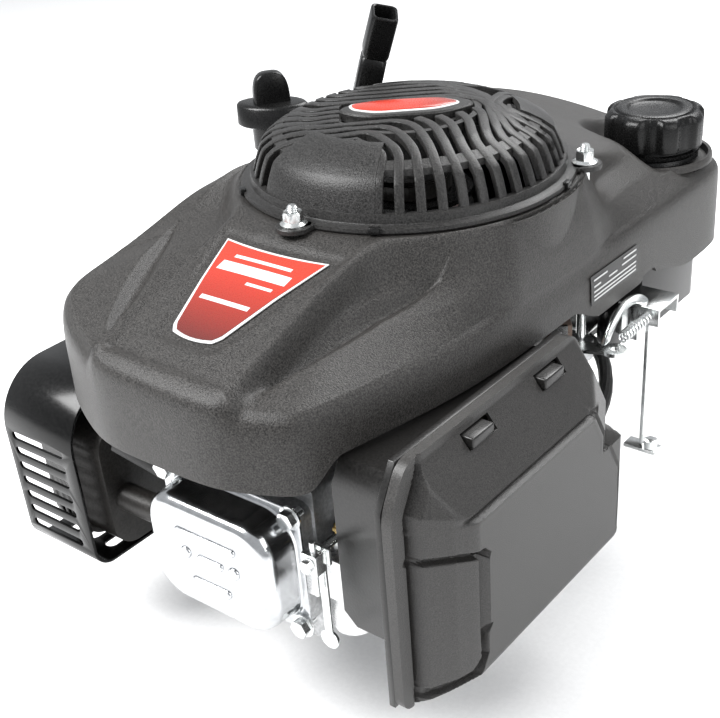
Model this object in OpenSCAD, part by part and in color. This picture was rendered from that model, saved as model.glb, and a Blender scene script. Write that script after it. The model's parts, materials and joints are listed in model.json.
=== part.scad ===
// Small vertical-shaft overhead-valve petrol engine, as used on walk-behind mowers.
// Frame: origin on the crank axis at the mounting face, +Z up, -Y towards the
// cylinder head, +X towards the air cleaner, -X towards the muffler. Millimetres.

/* [Displacement] */
// Cylinder bore
bore = 70; // [60:0.5:80]
// Piston stroke
stroke = 51; // [40:0.5:60]
// Connecting rod, centre to centre
rod_length = 92; // [85:1:100]
// Height of the cylinder axis above the mounting face
cylinder_z = 62; // [58:1:66]

/* [Output shaft] */
// Diameter of the output shaft
shaft_d = 22.2; // [20:0.1:25.4]
// Length of the output shaft below the mounting face
shaft_length = 62; // [50:1:80]
// Width of the shaft key slot
key_w = 4.76; // [4:0.01:6.4]
// Diameter of the circle of mounting holes
mount_circle = 203.2; // [190:0.1:210]
// Diameter of a mounting hole
mount_hole = 8.5; // [8:0.1:10]

/* [Flywheel and starter] */
// Outer diameter of the flywheel
flywheel_d = 176; // [160:1:180]
// Outer diameter of the starter grille at its foot
grille_d = 186; // [170:1:190]
// Height of the top of the starter grille
grille_top = 262; // [250:1:270]
// Circle of the three housing nuts
nut_circle = 206; // [200:1:212]

/* [Cover] */
// Thickness of the moulded covers
wall = 2.6; // [2:0.1:4]
// Distance from the crank axis to the front of the cover
cover_front = 222; // [210:1:230]
// Distance from the crank axis to the back of the cover
cover_back = 228; // [215:1:235]

/* [Air cleaner] */
// Distance from the crank axis to the rim of the air cleaner
rim_x = 118; // [112:1:124]
// Depth of the air cleaner cover
cover_depth = 33; // [25:1:40]

/* [Fuel] */
// Diameter of the fuel cap
cap_d = 66; // [55:1:75]

/* [Hidden] */
$fn = 64;
throw = stroke / 2;
seal_r = shaft_d / 2 + 1.4;
wrist_y = -throw - rod_length;
crown_y = wrist_y - 28;
deck_y = crown_y - 0.5;
head_y = deck_y - 1.2;
roof_y = head_y - 8;
floor_y = deck_y - 26;
rocker_y = deck_y - 32;
cam = [49.5, 12.5];
gov_turn = 140;
module_size = 1.7;
gov = [cam[0] + 27 * module_size * cos(gov_turn), cam[1] + 27 * module_size * sin(gov_turn)];
case_r = 68;
cam_r = 37;
case_top = 112;
tappet_x = 44;
push_x = 39.5;
lobe_z = 25;
valve_x = -11.5;
valve_z = 17;
pivot_x = 14;
lift = 4.5;
carb_y = deck_y - 16;
throttle_x = 63;
choke_x = 79.5;
box_rear = -32;
stud_angles = [-90, 30, 150];
fly_r = flywheel_d / 2;
plug_at = [-22, -154.5, 66];
plug_dir = [-75, -24, 39];
neck = [67, 185];
grip_at = [-88, 74, 236];

// ---------- shared shapes ----------

// A cylinder whose axis runs along Y, from y0 back to y1.
module y_rod(x, z, r, y0, y1) {
    translate([x, y1, z])
        rotate([90, 0, 0])
            cylinder(r = r, h = y1 - y0);
}

// A cylinder whose axis runs along X, from x0 to x1.
module x_rod(y, z, r, x0, x1) {
    translate([x0, y, z])
        rotate([0, 90, 0])
            cylinder(r = r, h = x1 - x0);
}

// A rectangle with round corners, centred on its own origin.
module round_rect(w, h, r) {
    square([w - 2 * r, h], center = true);
    square([w, h - 2 * r], center = true);
    for (sx = [-1, 1], sy = [-1, 1])
        translate([sx * (w / 2 - r), sy * (h / 2 - r)])
            circle(r = r);
}

// A round-cornered plate standing across Y, from y0 back to y1.
module y_plate(x, z, w, h, r, y0, y1) {
    translate([x, y1, z])
        rotate([90, 0, 0])
            linear_extrude(y1 - y0)
                round_rect(w, h, r);
}

// A straight rod between two points.
module rod_between(a, b, r) {
    d = b - a;
    reach = norm(d);
    translate(a)
        rotate([0, acos(d[2] / reach), atan2(d[1], d[0])])
            cylinder(r = r, h = reach);
}

function unit(v) = v / norm(v);

// The same path with its corners cut n times over, which rounds its bends.
function rounded(p, n) = n == 0 ? p : rounded(concat([p[0]],
    [for (i = [0 : len(p) - 2]) each [p[i] * 0.75 + p[i + 1] * 0.25, p[i] * 0.25 + p[i + 1] * 0.75]],
    [p[len(p) - 1]]), n - 1);

// A tube or, with no hole, a round wire along a path; ref is never along the path.
module tube(path, r, hole = 0, ref = [1, 0.2, 0.1], sides = 12) {
    last = len(path) - 1;
    per = hole > 0 ? 2 * sides : sides;
    radii = hole > 0 ? [r, hole] : [r];
    points = [for (i = [0 : last])
        let (t = unit(unit(path[min(i + 1, last)] - path[max(i - 1, 0)])),
            u = unit(cross(ref, t)), v = cross(t, u))
        for (q = radii, k = [0 : sides - 1])
        let (b = 360 * k / sides)
        path[i] + q * (u * cos(b) + v * sin(b))];
    around = [for (i = [0 : last - 1], k = [0 : sides - 1])
        let (n = (k + 1) % sides, a = i * per, b = (i + 1) * per)
        each concat([[a + k, b + k, b + n], [a + k, b + n, a + n]],
            hole > 0 ? [[a + sides + k, b + sides + n, b + sides + k],
                [a + sides + k, a + sides + n, b + sides + n]] : [])];
    caps = hole > 0
        ? [for (k = [0 : sides - 1])
            let (n = (k + 1) % sides, b = last * per)
            each [[k, n, sides + n], [k, sides + n, sides + k],
                [b + k, b + sides + n, b + n], [b + k, b + sides + k, b + sides + n]]]
        : [[for (k = [0 : sides - 1]) k], [for (k = [0 : sides - 1]) last * per + sides - 1 - k]];
    polyhedron(points = points, faces = concat(around, caps), convexity = 8);
}

// Turns its children from +Z to point along a direction.
module aim(d) {
    rotate([0, acos(d[2] / norm(d)), atan2(d[1], d[0])])
        children();
}

// A hexagon-headed flange bolt: head above z = 0, shank below it.
module flange_bolt(thread_r, shank, across_flats) {
    cylinder(r = across_flats * 0.72, h = 1.4);
    cylinder(r = across_flats / sqrt(3), h = across_flats * 0.6, $fn = 6);
    translate([0, 0, -shank])
        cylinder(r = thread_r, h = shank + 0.1);
}

// A spur gear with straight-flanked teeth; one tooth points along +X.
module spur_gear(teeth, thickness, bore_r) {
    pitch_r = teeth * module_size / 2;
    step = 360 / teeth;
    outline = [for (i = [0 : teeth - 1], c = [[-0.31, -1.15], [-0.13, 0.8], [0.13, 0.8], [0.31, -1.15]])
        let (a = (i + c[0]) * step, r = pitch_r + c[1] * module_size)
        [r * cos(a), r * sin(a)]];
    linear_extrude(thickness)
        difference() {
            polygon(outline);
            circle(r = bore_r);
        }
}

// A coil spring of round wire along +Z, its wire ends square across.
module coil(mean_r, wire_r, length, turns) {
    sides = 6;
    steps = turns * 14;
    ring = [for (i = [0 : steps], k = [0 : sides - 1])
        let (a = 360 * turns * i / steps, b = 360 * k / sides, r = mean_r + wire_r * cos(b))
        [r * cos(a), r * sin(a), wire_r + (length - 2 * wire_r) * i / steps + wire_r * sin(b)]];
    sleeve = [for (i = [0 : steps - 1], k = [0 : sides - 1])
        let (n = (k + 1) % sides)
        [i * sides + k, i * sides + n, (i + 1) * sides + n, (i + 1) * sides + k]];
    ends = [[for (k = [0 : sides - 1]) sides - 1 - k], [for (k = [0 : sides - 1]) steps * sides + k]];
    polyhedron(points = ring, faces = concat(sleeve, ends), convexity = 6);
}

// ---------- crankcase and sump ----------

// The crankcase seen from above: crank chamber and camshaft chamber.
module case_plan(crank_side, cam_side) {
    circle(r = crank_side);
    translate(cam)
        circle(r = cam_side);
}

// Places its children at each bolt of the sump joint.
module at_sump_bolts() {
    for (a = [75, 102, 127, 173, 200, 228, 312])
        rotate([0, 0, a])
            translate([79, 0, 0])
                children();
    for (a = [-35, 6])
        translate(cam)
            rotate([0, 0, a])
                translate([48, 0, 0])
                    children();
}

module at_head_bolts() {
    for (x = [-34, 34], z = [cylinder_z - 47, cylinder_z + 47])
        translate([x, 0, z])
            children();
}

module crankcase() {
    color([0.66, 0.67, 0.68])
        difference() {
            union() {
                translate([0, 0, 22.5])
                    linear_extrude(case_top - 22.5)
                        case_plan(case_r + 5, cam_r + 5);
                translate([0, 0, 22.5])
                    linear_extrude(8)
                        case_plan(84, 54);
                y_rod(0, cylinder_z, bore / 2 + 8, deck_y, -60);
                y_plate(0, cylinder_z, 104, 112, 12, deck_y, deck_y + 10);
                for (i = [0 : 5])
                    y_plate(0, cylinder_z, 100, 96, 12, deck_y + 16 + 9 * i, deck_y + 18.5 + 9 * i);
                for (a = stud_angles)
                    rotate([0, 0, a])
                        translate([60, -8, 100]) {
                            cube([nut_circle / 2 - 60, 16, 12]);
                            translate([nut_circle / 2 - 60, 8, 0])
                                cylinder(r = 8, h = 12);
                        }
                for (x = [-44, -28])
                    translate([x, -98, 108])
                        cylinder(r = 4.5, h = 20);
            }
            difference() {
                translate([0, 0, 20])
                    linear_extrude(80)
                        case_plan(case_r, cam_r);
                translate([0, 0, 94])
                    cylinder(r = 27, h = 10);
                translate([cam[0], cam[1], 92])
                    cylinder(r = 12, h = 10);
                translate([throttle_x, -10, 94])
                    cylinder(r = 7, h = 10);
                for (side = [-1, 1])
                    y_rod(tappet_x, cylinder_z + side * lobe_z, 10.5, -62, -30);
            }
            translate([0, 0, 90])
                cylinder(r = 15.05, h = 30);
            translate([0, 0, 106])
                cylinder(r = 22, h = 10);
            translate([cam[0], cam[1], 80])
                cylinder(r = 6.05, h = 26);
            translate([throttle_x, -10, 90])
                cylinder(r = 3.05, h = 30);
            y_rod(0, cylinder_z, bore / 2 + 3.5, deck_y - 1, -40);
            for (side = [-1, 1]) {
                y_rod(tappet_x, cylinder_z + side * lobe_z, 6.55, -66, -28);
                y_rod(push_x, cylinder_z + side * lobe_z, 5.5, deck_y - 1, -41);
            }
            at_head_bolts()
                y_rod(0, 0, 4, deck_y - 1, deck_y + 24);
            cylinder(r = 88, h = 22.5);
            at_sump_bolts()
                cylinder(r = 3, h = 29);
            rotate([0, 0, 30])
                translate([nut_circle / 2, 0, 90])
                    cylinder(r = 3, h = 30);
            rotate([0, 0, 150])
                translate([nut_circle / 2, 0, 90])
                    cylinder(r = 3, h = 30);
            rotate([0, 0, -90])
                translate([nut_circle / 2, 0, 102])
                    cylinder(r = 3, h = 30);
            translate([82, 32, 104])
                cylinder(r = 3, h = 30);
            rod_between([-60, 20.1, 40], [-104, 26.8, 65.4], 9.8);
        }
}

module cylinder_sleeve() {
    color([0.42, 0.42, 0.43])
        difference() {
            y_rod(0, cylinder_z, bore / 2 + 3.5, deck_y, -50);
            y_rod(0, cylinder_z, bore / 2 + 0.05, deck_y - 1, -49);
        }
}

module oil_sump() {
    color([0.64, 0.65, 0.66])
        difference() {
            union() {
                translate([0, 0, 8])
                    linear_extrude(14)
                        case_plan(84, 54);
                cylinder(r = 78, h = 10);
                for (a = stud_angles)
                    rotate([0, 0, a])
                        translate([60, -12, 0]) {
                            cube([mount_circle / 2 - 60, 24, 10]);
                            translate([mount_circle / 2 - 60, 12, 0])
                                cylinder(r = 12, h = 10);
                        }
            }
            difference() {
                translate([0, 0, 5])
                    linear_extrude(20)
                        circle(r = case_r - 2);
                cylinder(r = 27, h = 22);
                translate([gov[0], gov[1], 0])
                    cylinder(r = 9, h = 18);
                translate([cam[0], cam[1], 0])
                    cylinder(r = 12, h = 21);
            }
            difference() {
                translate([cam[0], cam[1], 12])
                    cylinder(r = cam_r - 2, h = 20);
                translate([cam[0], cam[1], 0])
                    cylinder(r = 12, h = 21);
                cylinder(r = 27, h = 22);
            }
            translate([0, 0, -1])
                cylinder(r = 22, h = 7);
            translate([0, 0, -1])
                cylinder(r = 15.05, h = 30);
            translate([cam[0], cam[1], 6])
                cylinder(r = 6.05, h = 20);
            translate([gov[0], gov[1], 6])
                cylinder(r = 3, h = 20);
            for (a = stud_angles)
                rotate([0, 0, a])
                    translate([mount_circle / 2, 0, -1])
                        cylinder(r = mount_hole / 2, h = 12);
            at_sump_bolts()
                translate([0, 0, 2])
                    cylinder(r = 3, h = 30);
            at_sump_bolts()
                translate([0, 0, -1])
                    cylinder(r = 8.5, h = 11);
        }
}

// Identical M6 flange bolts that hold the sump and the valve cover.
module flange_bolts() {
    color([0.78, 0.78, 0.76]) {
        at_sump_bolts()
            translate([0, 0, 10])
                mirror([0, 0, 1])
                    flange_bolt(3, 18, 10);
        for (x = [-47, 47], z = [cylinder_z - 37, cylinder_z + 37])
            translate([x, floor_y - 7.6, z])
                rotate([90, 0, 0])
                    flange_bolt(3, 7, 10);
    }
}

// The two shaft seals: one at the output end, one under the flywheel.
module oil_seals() {
    color([0.16, 0.13, 0.11]) {
        difference() {
            cylinder(r = 22, h = 5.6);
            translate([0, 0, -1])
                cylinder(r = seal_r + 0.05, h = 8);
        }
        translate([0, 0, 106.2])
            difference() {
                cylinder(r = 22, h = 5.6);
                translate([0, 0, -1])
                    cylinder(r = 15.05, h = 8);
            }
    }
}

// ---------- crank, rod and piston ----------

// One crank web with its counterweight opposite the pin.
module crank_web() {
    linear_extrude(7.5) {
        difference() {
            circle(r = 38);
            translate([-40, -80])
                square([80, 76]);
        }
        translate([-17, -throw])
            square([34, throw]);
        translate([0, -throw])
            circle(r = 17);
    }
}

// The built-up crankshaft: output half below the pin, flywheel half above it.
module crankshaft() {
    color([0.62, 0.62, 0.63]) {
        difference() {
            union() {
                translate([0, 0, -shaft_length])
                    cylinder(r = shaft_d / 2, h = shaft_length);
                translate([0, 0, -1])
                    cylinder(r = seal_r, h = 9);
                translate([0, 0, 7])
                    cylinder(r = 15, h = cylinder_z - 24.8);
                translate([0, 0, cylinder_z - 17.8])
                    crank_web();
                translate([0, 0, 23.6])
                    rotate([0, 0, atan2(cam[1], cam[0])])
                        spur_gear(20, 6, 10);
            }
            translate([0, 0, -shaft_length - 1])
                cylinder(r = 4.25, h = 26);
            translate([shaft_d / 2 - 2.4, -key_w / 2, -shaft_length - 1])
                cube([5, key_w, 41]);
        }
        translate([0, 0, cylinder_z + 10.3])
            crank_web();
        translate([0, 0, cylinder_z + 17])
            cylinder(r = 15, h = 99 - cylinder_z);
        translate([0, 0, 116])
            cylinder(r1 = 14, r2 = 11.5, h = 30);
        translate([0, 0, 145])
            cylinder(r = 6, h = 20);
    }
}

module crank_pin() {
    color([0.7, 0.7, 0.72])
        translate([0, -throw, cylinder_z - 10.25])
            cylinder(r = 13, h = 20.5);
}

module connecting_rod() {
    color([0.68, 0.69, 0.7])
        difference() {
            union() {
                translate([0, -throw, cylinder_z - 9.8])
                    cylinder(r = 17, h = 19.6);
                translate([0, wrist_y, cylinder_z - 9])
                    cylinder(r = 12, h = 18);
                translate([-7, wrist_y + 8, cylinder_z - 6])
                    cube([14, rod_length - 20, 12]);
            }
            translate([0, -throw, cylinder_z - 20])
                cylinder(r = 13.05, h = 40);
            translate([0, wrist_y, cylinder_z - 20])
                cylinder(r = 8.05, h = 40);
            for (z = [cylinder_z - 7, cylinder_z + 3])
                translate([-4, wrist_y + 14, z])
                    cube([8, rod_length - 34, 4]);
        }
}

module piston() {
    color([0.75, 0.76, 0.77])
        difference() {
            y_rod(0, cylinder_z, bore / 2, crown_y, crown_y + 52);
            difference() {
                y_rod(0, cylinder_z, bore / 2 - 5, crown_y + 8, crown_y + 53);
                for (side = [-1, 1])
                    translate([0, wrist_y, cylinder_z + side * 20.5 - 10])
                        cylinder(r = 12, h = 20);
            }
            translate([0, wrist_y, 0])
                cylinder(r = 8, h = 2 * cylinder_z);
            for (y = [5, 10, 15])
                difference() {
                    y_rod(0, cylinder_z, bore / 2 + 1, crown_y + y, crown_y + y + 2);
                    y_rod(0, cylinder_z, bore / 2 - 3.5, crown_y + y - 1, crown_y + y + 3);
                }
        }
}

module piston_rings() {
    color([0.3, 0.3, 0.31])
        for (y = [5, 10, 15])
            difference() {
                y_rod(0, cylinder_z, bore / 2 + 0.03, crown_y + y + 0.1, crown_y + y + 1.9);
                y_rod(0, cylinder_z, bore / 2 - 3.3, crown_y + y - 1, crown_y + y + 3);
                translate([-0.3, crown_y + y - 1, cylinder_z])
                    cube([0.6, 4, bore]);
            }
}

module wrist_pin() {
    color([0.76, 0.76, 0.78])
        translate([0, wrist_y, cylinder_z - 28])
            difference() {
                cylinder(r = 8, h = 56);
                translate([0, 0, -1])
                    cylinder(r = 5, h = 58);
            }
}

// ---------- valve train ----------

module camshaft() {
    color([0.5, 0.5, 0.52])
        translate([cam[0], cam[1], 0]) {
            translate([0, 0, 6.5])
                cylinder(r = 6, h = 98.5);
            translate([0, 0, 23.6])
                rotate([0, 0, 180 + atan2(cam[1], cam[0]) + 4.5])
                    spur_gear(40, 6, 5);
            for (lobe = [[-1, 100], [1, 200]])
                translate([0, 0, cylinder_z + lobe[0] * lobe_z - 4])
                    rotate([0, 0, lobe[1]])
                        linear_extrude(8) {
                            circle(r = 11);
                            translate([0, -7])
                                square([8, 14]);
                            translate([7.2, 0])
                                circle(r = 7);
                        }
        }
}

// Governor gear with its ring of flyweights above the teeth.
module governor_gear() {
    lag = gov_turn - 184.5 - atan2(cam[1], cam[0]);
    shift = (lag - 9 * round(lag / 9)) * 40 / 14;
    color([0.6, 0.6, 0.62])
        translate([gov[0], gov[1], 0]) {
            translate([0, 0, 23.6])
                rotate([0, 0, gov_turn + 180 + shift + 180 / 14])
                    spur_gear(14, 6, 3.05);
            translate([0, 0, 29.5])
                difference() {
                    union() {
                        cylinder(r = 9, h = 2);
                        translate([0, 0, 1.2])
                            cylinder(r = 13.4, h = 9);
                    }
                    translate([0, 0, -1])
                        cylinder(r = 3.05, h = 12);
                }
        }
}

// Cam follower and pushrod of one valve; side is -1 for exhaust, 1 for intake.
module lifter(side) {
    z = cylinder_z + side * lobe_z;
    y_rod(tappet_x, z, 6.5, -42, cam[1] - 14.5);
    y_rod(push_x, z, 2.5, floor_y - 15.6, -42);
    translate([push_x, floor_y - 15.6, z])
        sphere(r = 2.5);
}

module intake_lifter() {
    color([0.6, 0.6, 0.62])
        lifter(1);
}

module exhaust_lifter() {
    color([0.6, 0.6, 0.62])
        lifter(-1);
}

// Outline of the joint between the head and the valve cover.
module cover_joint(margin, y0, y1) {
    y_plate(0, cylinder_z, 104 - 2 * margin, 83 - 2 * margin, 8 - margin / 2, y0, y1);
}

module cylinder_head() {
    color([0.67, 0.68, 0.69])
        difference() {
            union() {
                y_plate(0, cylinder_z, 104, 112, 12, head_y - 20, head_y);
                cover_joint(2, floor_y - 6, head_y);
            }
            y_rod(0, cylinder_z, 34.6, roof_y, head_y + 1);
            for (z = [cylinder_z - valve_z, cylinder_z + valve_z]) {
                y_rod(valve_x, z, 3.05, floor_y - 5, roof_y + 1);
                y_rod(valve_x, z, 10.5, roof_y - 9, roof_y + 1);
            }
            rod_between([60, carb_y, cylinder_z],
                [valve_x, roof_y - 8.3, cylinder_z + valve_z], 6.5);
            x_rod(carb_y - 2, cylinder_z - valve_z, 6.5, -60, valve_x);
            translate([0, floor_y, cylinder_z])
                rotate([90, 0, 0])
                    linear_extrude(10)
                        round_rect(90, 69, 7);
            for (side = [-1, 1])
                y_rod(push_x, cylinder_z + side * lobe_z, 4.9, floor_y - 5, head_y + 1);
            at_head_bolts()
                y_rod(0, 0, 4, head_y - 40, head_y + 1);
            for (x = [-47, 47], z = [cylinder_z - 37, cylinder_z + 37])
                y_rod(x, z, 3, floor_y - 7, floor_y + 1);
            for (i = [0 : 1], side = [-1, 1])
                translate([-60, head_y - 8 - 6 * i, cylinder_z + side * 56 - 5])
                    cube([120, 2.5, 10]);
            translate(plug_at)
                aim(plug_dir) {
                    cylinder(r = 5, h = 40);
                    translate([0, 0, 19])
                        cylinder(r = 9.5, h = 60);
                }
        }
}

module head_bolts() {
    color([0.5, 0.5, 0.5])
        at_head_bolts()
            translate([0, head_y - 20, 0])
                rotate([90, 0, 0])
                    flange_bolt(4, 40, 10);
}

// A poppet valve with its spring retainer; side is -1 for exhaust, 1 for intake.
module poppet(side, head_r) {
    z = cylinder_z + side * valve_z;
    y_rod(valve_x, z, head_r, roof_y + 0.3, roof_y + 2.6);
    translate([valve_x, roof_y + 0.4, z])
        rotate([90, 0, 0])
            cylinder(r1 = 9, r2 = 3, h = 6);
    y_rod(valve_x, z, 3, floor_y - 16, roof_y);
    y_rod(valve_x, z, 2.5, floor_y - 18, floor_y - 16);
    y_rod(valve_x, z, 8.5, floor_y - 15.5, floor_y - 13);
}

module intake_valve() {
    color([0.63, 0.63, 0.65])
        poppet(1, 13.5);
}

module exhaust_valve() {
    color([0.5, 0.47, 0.44])
        poppet(-1, 12);
}

module valve_springs() {
    color([0.35, 0.36, 0.38])
        for (side = [-1, 1])
            translate([valve_x, floor_y - 0.2, cylinder_z + side * valve_z])
                rotate([90, 0, 0])
                    coil(6.5, 1.1, 12.6, 4);
}

// Cheeks and pivot pins that carry the two rocker arms.
module rocker_stands() {
    color([0.55, 0.55, 0.57])
        for (side = [-1, 1])
            translate([0, 0, cylinder_z + side * 21]) {
                for (z = [-10, 7])
                    translate([pivot_x - 4, rocker_y - 18, z])
                        cube([8, floor_y - rocker_y + 18, 3]);
                translate([pivot_x, rocker_y - 14, -10])
                    cylinder(r = 3, h = 20);
            }
}

// A rocker arm about its pin; side is -1 for exhaust, 1 for intake.
module rocker(side) {
    translate([pivot_x, rocker_y - 14, cylinder_z + side * 21])
        difference() {
            union() {
                translate([0, 0, -6.5])
                    cylinder(r = 5.5, h = 13);
                translate([valve_x - pivot_x - 3, -2.2, -side * 4 - 2.5])
                    cube([pivot_x - valve_x, 3.6, 5]);
                translate([3, -2.2, side * 4 - 2.5])
                    cube([push_x - pivot_x - 1, 3.6, 5]);
            }
            translate([0, 0, -10])
                cylinder(r = 3.05, h = 20);
        }
}

module intake_rocker() {
    color([0.58, 0.57, 0.55])
        rocker(1);
}

module exhaust_rocker() {
    color([0.58, 0.57, 0.55])
        rocker(-1);
}

module valve_cover() {
    color([0.86, 0.87, 0.88])
        difference() {
            union() {
                cover_joint(0, floor_y - 7.5, floor_y - 6);
                y_plate(0, cylinder_z, 94, 73, 18, floor_y - 26, floor_y - 7);
                y_plate(0, cylinder_z, 90, 69, 12, floor_y - 29, floor_y - 25);
                y_plate(0, cylinder_z, 84, 63, 15, floor_y - 30.2, floor_y - 28);
            }
            y_plate(0, cylinder_z, 90.8, 69.8, 16, floor_y - 25.5, floor_y - 5);
            y_plate(0, cylinder_z, 87, 66, 10, floor_y - 28.5, floor_y - 25);
            for (x = [-47, 47], z = [cylinder_z - 37, cylinder_z + 37])
                y_rod(x, z, 3, floor_y - 8, floor_y - 5);
        }
}

// ---------- ignition ----------

module spark_plug() {
    color([0.85, 0.85, 0.83])
        translate(plug_at)
            aim(plug_dir) {
                translate([0, 0, 2])
                    cylinder(r = 2, h = 5);
                translate([0, 0, 6])
                    cylinder(r = 5, h = 13.2);
                translate([0, 0, 19.1])
                    cylinder(r = 8.1, h = 9, $fn = 6);
                translate([0, 0, 28])
                    cylinder(r = 6.5, h = 4);
                translate([0, 0, 31])
                    cylinder(r = 5, h = 20);
                translate([0, 0, 50])
                    cylinder(r = 3, h = 6);
            }
}

// Rubber boot and the lead that runs from it up to the coil.
module plug_boot() {
    d = plug_dir / norm(plug_dir);
    tip = plug_at + 78 * d;
    color([0.05, 0.05, 0.05]) {
        translate(plug_at)
            aim(plug_dir)
                difference() {
                    translate([0, 0, 36])
                        cylinder(r = 8.5, h = 44);
                    translate([0, 0, 35])
                        cylinder(r = 5.3, h = 24);
                }
        tube(rounded([tip - 4 * d, tip + 6 * d, [-84, -160, 120], [-66, -138, 124],
            [-38, -128, 132], [-36, -120, 132.6], [-36, -112.3, 132.6]], 2), 3.5);
    }
}

module ignition_coil() {
    color([0.12, 0.12, 0.13])
        difference() {
            union() {
                for (x = [-44, -28])
                    translate([x - 4, -112, 128.2])
                        cube([8, 24, 9]);
                translate([-48, -112, 128.2])
                    cube([24, 7, 9]);
                translate([-46, -104, 128.2])
                    cube([20, 12, 9]);
            }
            cylinder(r = fly_r + 0.6, h = 200);
            for (x = [-44, -28])
                translate([x, -98, 120])
                    cylinder(r = 1.6, h = 20);
        }
}

// ---------- flywheel, fan and starter ----------

module flywheel() {
    color([0.6, 0.61, 0.62])
        difference() {
            union() {
                translate([0, 0, 118])
                    cylinder(r = 22, h = 28);
                translate([0, 0, 124])
                    cylinder(r = fly_r, h = 9);
                translate([0, 0, 122])
                    cylinder(r = fly_r, h = 28);
            }
            translate([0, 0, 133])
                difference() {
                    cylinder(r = fly_r - 15, h = 20);
                    cylinder(r = 22, h = 20);
                }
            translate([0, 0, 146])
                cylinder(r = 40, h = 10);
            translate([0, 0, 117])
                difference() {
                    cylinder(r = fly_r - 15, h = 8);
                    cylinder(r = 22, h = 8);
                }
            translate([0, 0, 116])
                cylinder(r1 = 14.03, r2 = 11.53, h = 30.05);
            for (a = [0 : 60 : 300])
                rotate([0, 0, a + 20])
                    translate([48, 0, 120])
                        cylinder(r = 9, h = 20);
        }
}

module cooling_fan() {
    color([0.1, 0.1, 0.1]) {
        translate([0, 0, 150.2])
            difference() {
                cylinder(r = fly_r - 1, h = 2.4);
                translate([0, 0, -1])
                    cylinder(r = 36, h = 5);
            }
        for (a = [0 : 22.5 : 359])
            rotate([0, 0, a])
                translate([fly_r - 38, 0, 152])
                    rotate([0, 0, 38])
                        intersection() {
                            difference() {
                                translate([20, -22, 0])
                                    cylinder(r = 31, h = 24);
                                translate([20, -22, -1])
                                    cylinder(r = 28.8, h = 26);
                            }
                            translate([0, -4, 0])
                                cube([34, 30, 24]);
                        }
    }
}

module starter_cup() {
    color([0.68, 0.68, 0.66])
        translate([0, 0, 146.1])
            difference() {
                cylinder(r = 33, h = 34);
                translate([0, 0, 1.6])
                    cylinder(r = 31.4, h = 40);
                translate([0, 0, -1])
                    cylinder(r = 6, h = 4);
                for (a = [0 : 60 : 120])
                    rotate([0, 0, a])
                        translate([-40, -6, 14])
                            cube([80, 12, 12]);
            }
}

module flywheel_nut() {
    color([0.6, 0.6, 0.6])
        translate([0, 0, 147.7])
            difference() {
                union() {
                    cylinder(r = 13, h = 1.6);
                    cylinder(r = 11, h = 11, $fn = 6);
                }
                translate([0, 0, -1])
                    cylinder(r = 6, h = 20);
            }
}

// Pulley with its pawl carrier, which reaches down into the starter cup.
module starter_pulley() {
    color([0.14, 0.14, 0.15])
        difference() {
            union() {
                translate([0, 0, 200])
                    cylinder(r = 38, h = 3);
                translate([0, 0, 202])
                    cylinder(r = 27, h = 10);
                translate([0, 0, 211])
                    cylinder(r = 38, h = 3);
                translate([0, 0, 172])
                    cylinder(r = 18, h = 30);
                for (a = [0, 180])
                    rotate([0, 0, a])
                        translate([8, -4, 172])
                            cube([21, 8, 6]);
            }
            translate([0, 0, 165])
                cylinder(r = 6.05, h = 60);
        }
}

module recoil_spring() {
    steps = 240;
    turns = 6;
    line = [for (i = [0 : steps])
        let (a = 360 * turns * i / steps, r = 9.5 + 18 * i / steps)
        [r * cos(a), r * sin(a)]];
    back = [for (i = [steps : -1 : 0])
        let (a = 360 * turns * i / steps, r = 10.3 + 18 * i / steps)
        [r * cos(a), r * sin(a)]];
    color([0.3, 0.31, 0.33])
        translate([0, 0, 215])
            linear_extrude(8)
                polygon(concat(line, back));
}

// One row of the slots that run across the top of the grille.
module top_slots() {
    for (i = [1 : 7], side = [-1, 1])
        let (y = side * (10 + 7.4 * i), half = sqrt(pow(68, 2) - y * y))
        translate([-half, y - 2.4, 240])
            cube([2 * half, 4.8, 40]);
}

// One upright slot in the grille's side, open over the rounded shoulder.
module side_slot(foot) {
    translate([foot - 19, -2.9, 230])
        cube([40, 5.8, 40]);
}

// Recoil starter housing: a domed grille with a foot ring and a centre post.
module starter_housing() {
    foot = grille_d / 2;
    rise = grille_top - 224;
    color([0.09, 0.09, 0.095])
        difference() {
            union() {
                translate([0, 0, 224])
                    rotate_extrude()
                        polygon(concat([[foot - 4, 0], [foot + 6, 0], [foot + 6, 3], [foot, 3]],
                            [for (a = [0 : 10 : 90])
                                [foot - 30 + 30 * cos(a), rise - 25 + 25 * sin(a)]],
                            [[0, rise], [0, rise - 3]],
                            [for (a = [90 : -10 : 0])
                                [foot - 30 + 26 * cos(a), rise - 25 + 22 * sin(a)]]));
                translate([0, 0, 196])
                    cylinder(r = 6, h = grille_top - 198);
                for (a = stud_angles)
                    rotate([0, 0, a])
                        translate([foot + 2, -10, 224])
                            cube([nut_circle / 2 - foot + 4, 20, 3]);
                for (a = stud_angles)
                    rotate([0, 0, a])
                        translate([nut_circle / 2, 0, 224])
                            cylinder(r = 10, h = 3);
                translate([0, 0, grille_top - 34])
                    difference() {
                        cylinder(r = 32, h = 32);
                        translate([0, 0, -1])
                            cylinder(r = 29.5, h = 40);
                    }
                translate([grip_at[0] - 12, grip_at[1] - 12, 224])
                    cube([24, 24, 7]);
                translate([-78, 48, 224])
                    rotate([0, 0, 45])
                        cube([26, 22, 3]);
            }
            for (a = [45 : 9 : 252])
                rotate([0, 0, a])
                    side_slot(foot);
            for (a = [288 : 9 : 378])
                rotate([0, 0, a])
                    side_slot(foot);
            difference() {
                top_slots();
                cylinder(r = 34, h = 300);
            }
            for (a = stud_angles)
                rotate([0, 0, a])
                    translate([nut_circle / 2, 0, 220])
                        cylinder(r = 3.05, h = 10);
            translate([grip_at[0], grip_at[1], 220])
                cylinder(r = 3.2, h = 20);
        }
}

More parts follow.
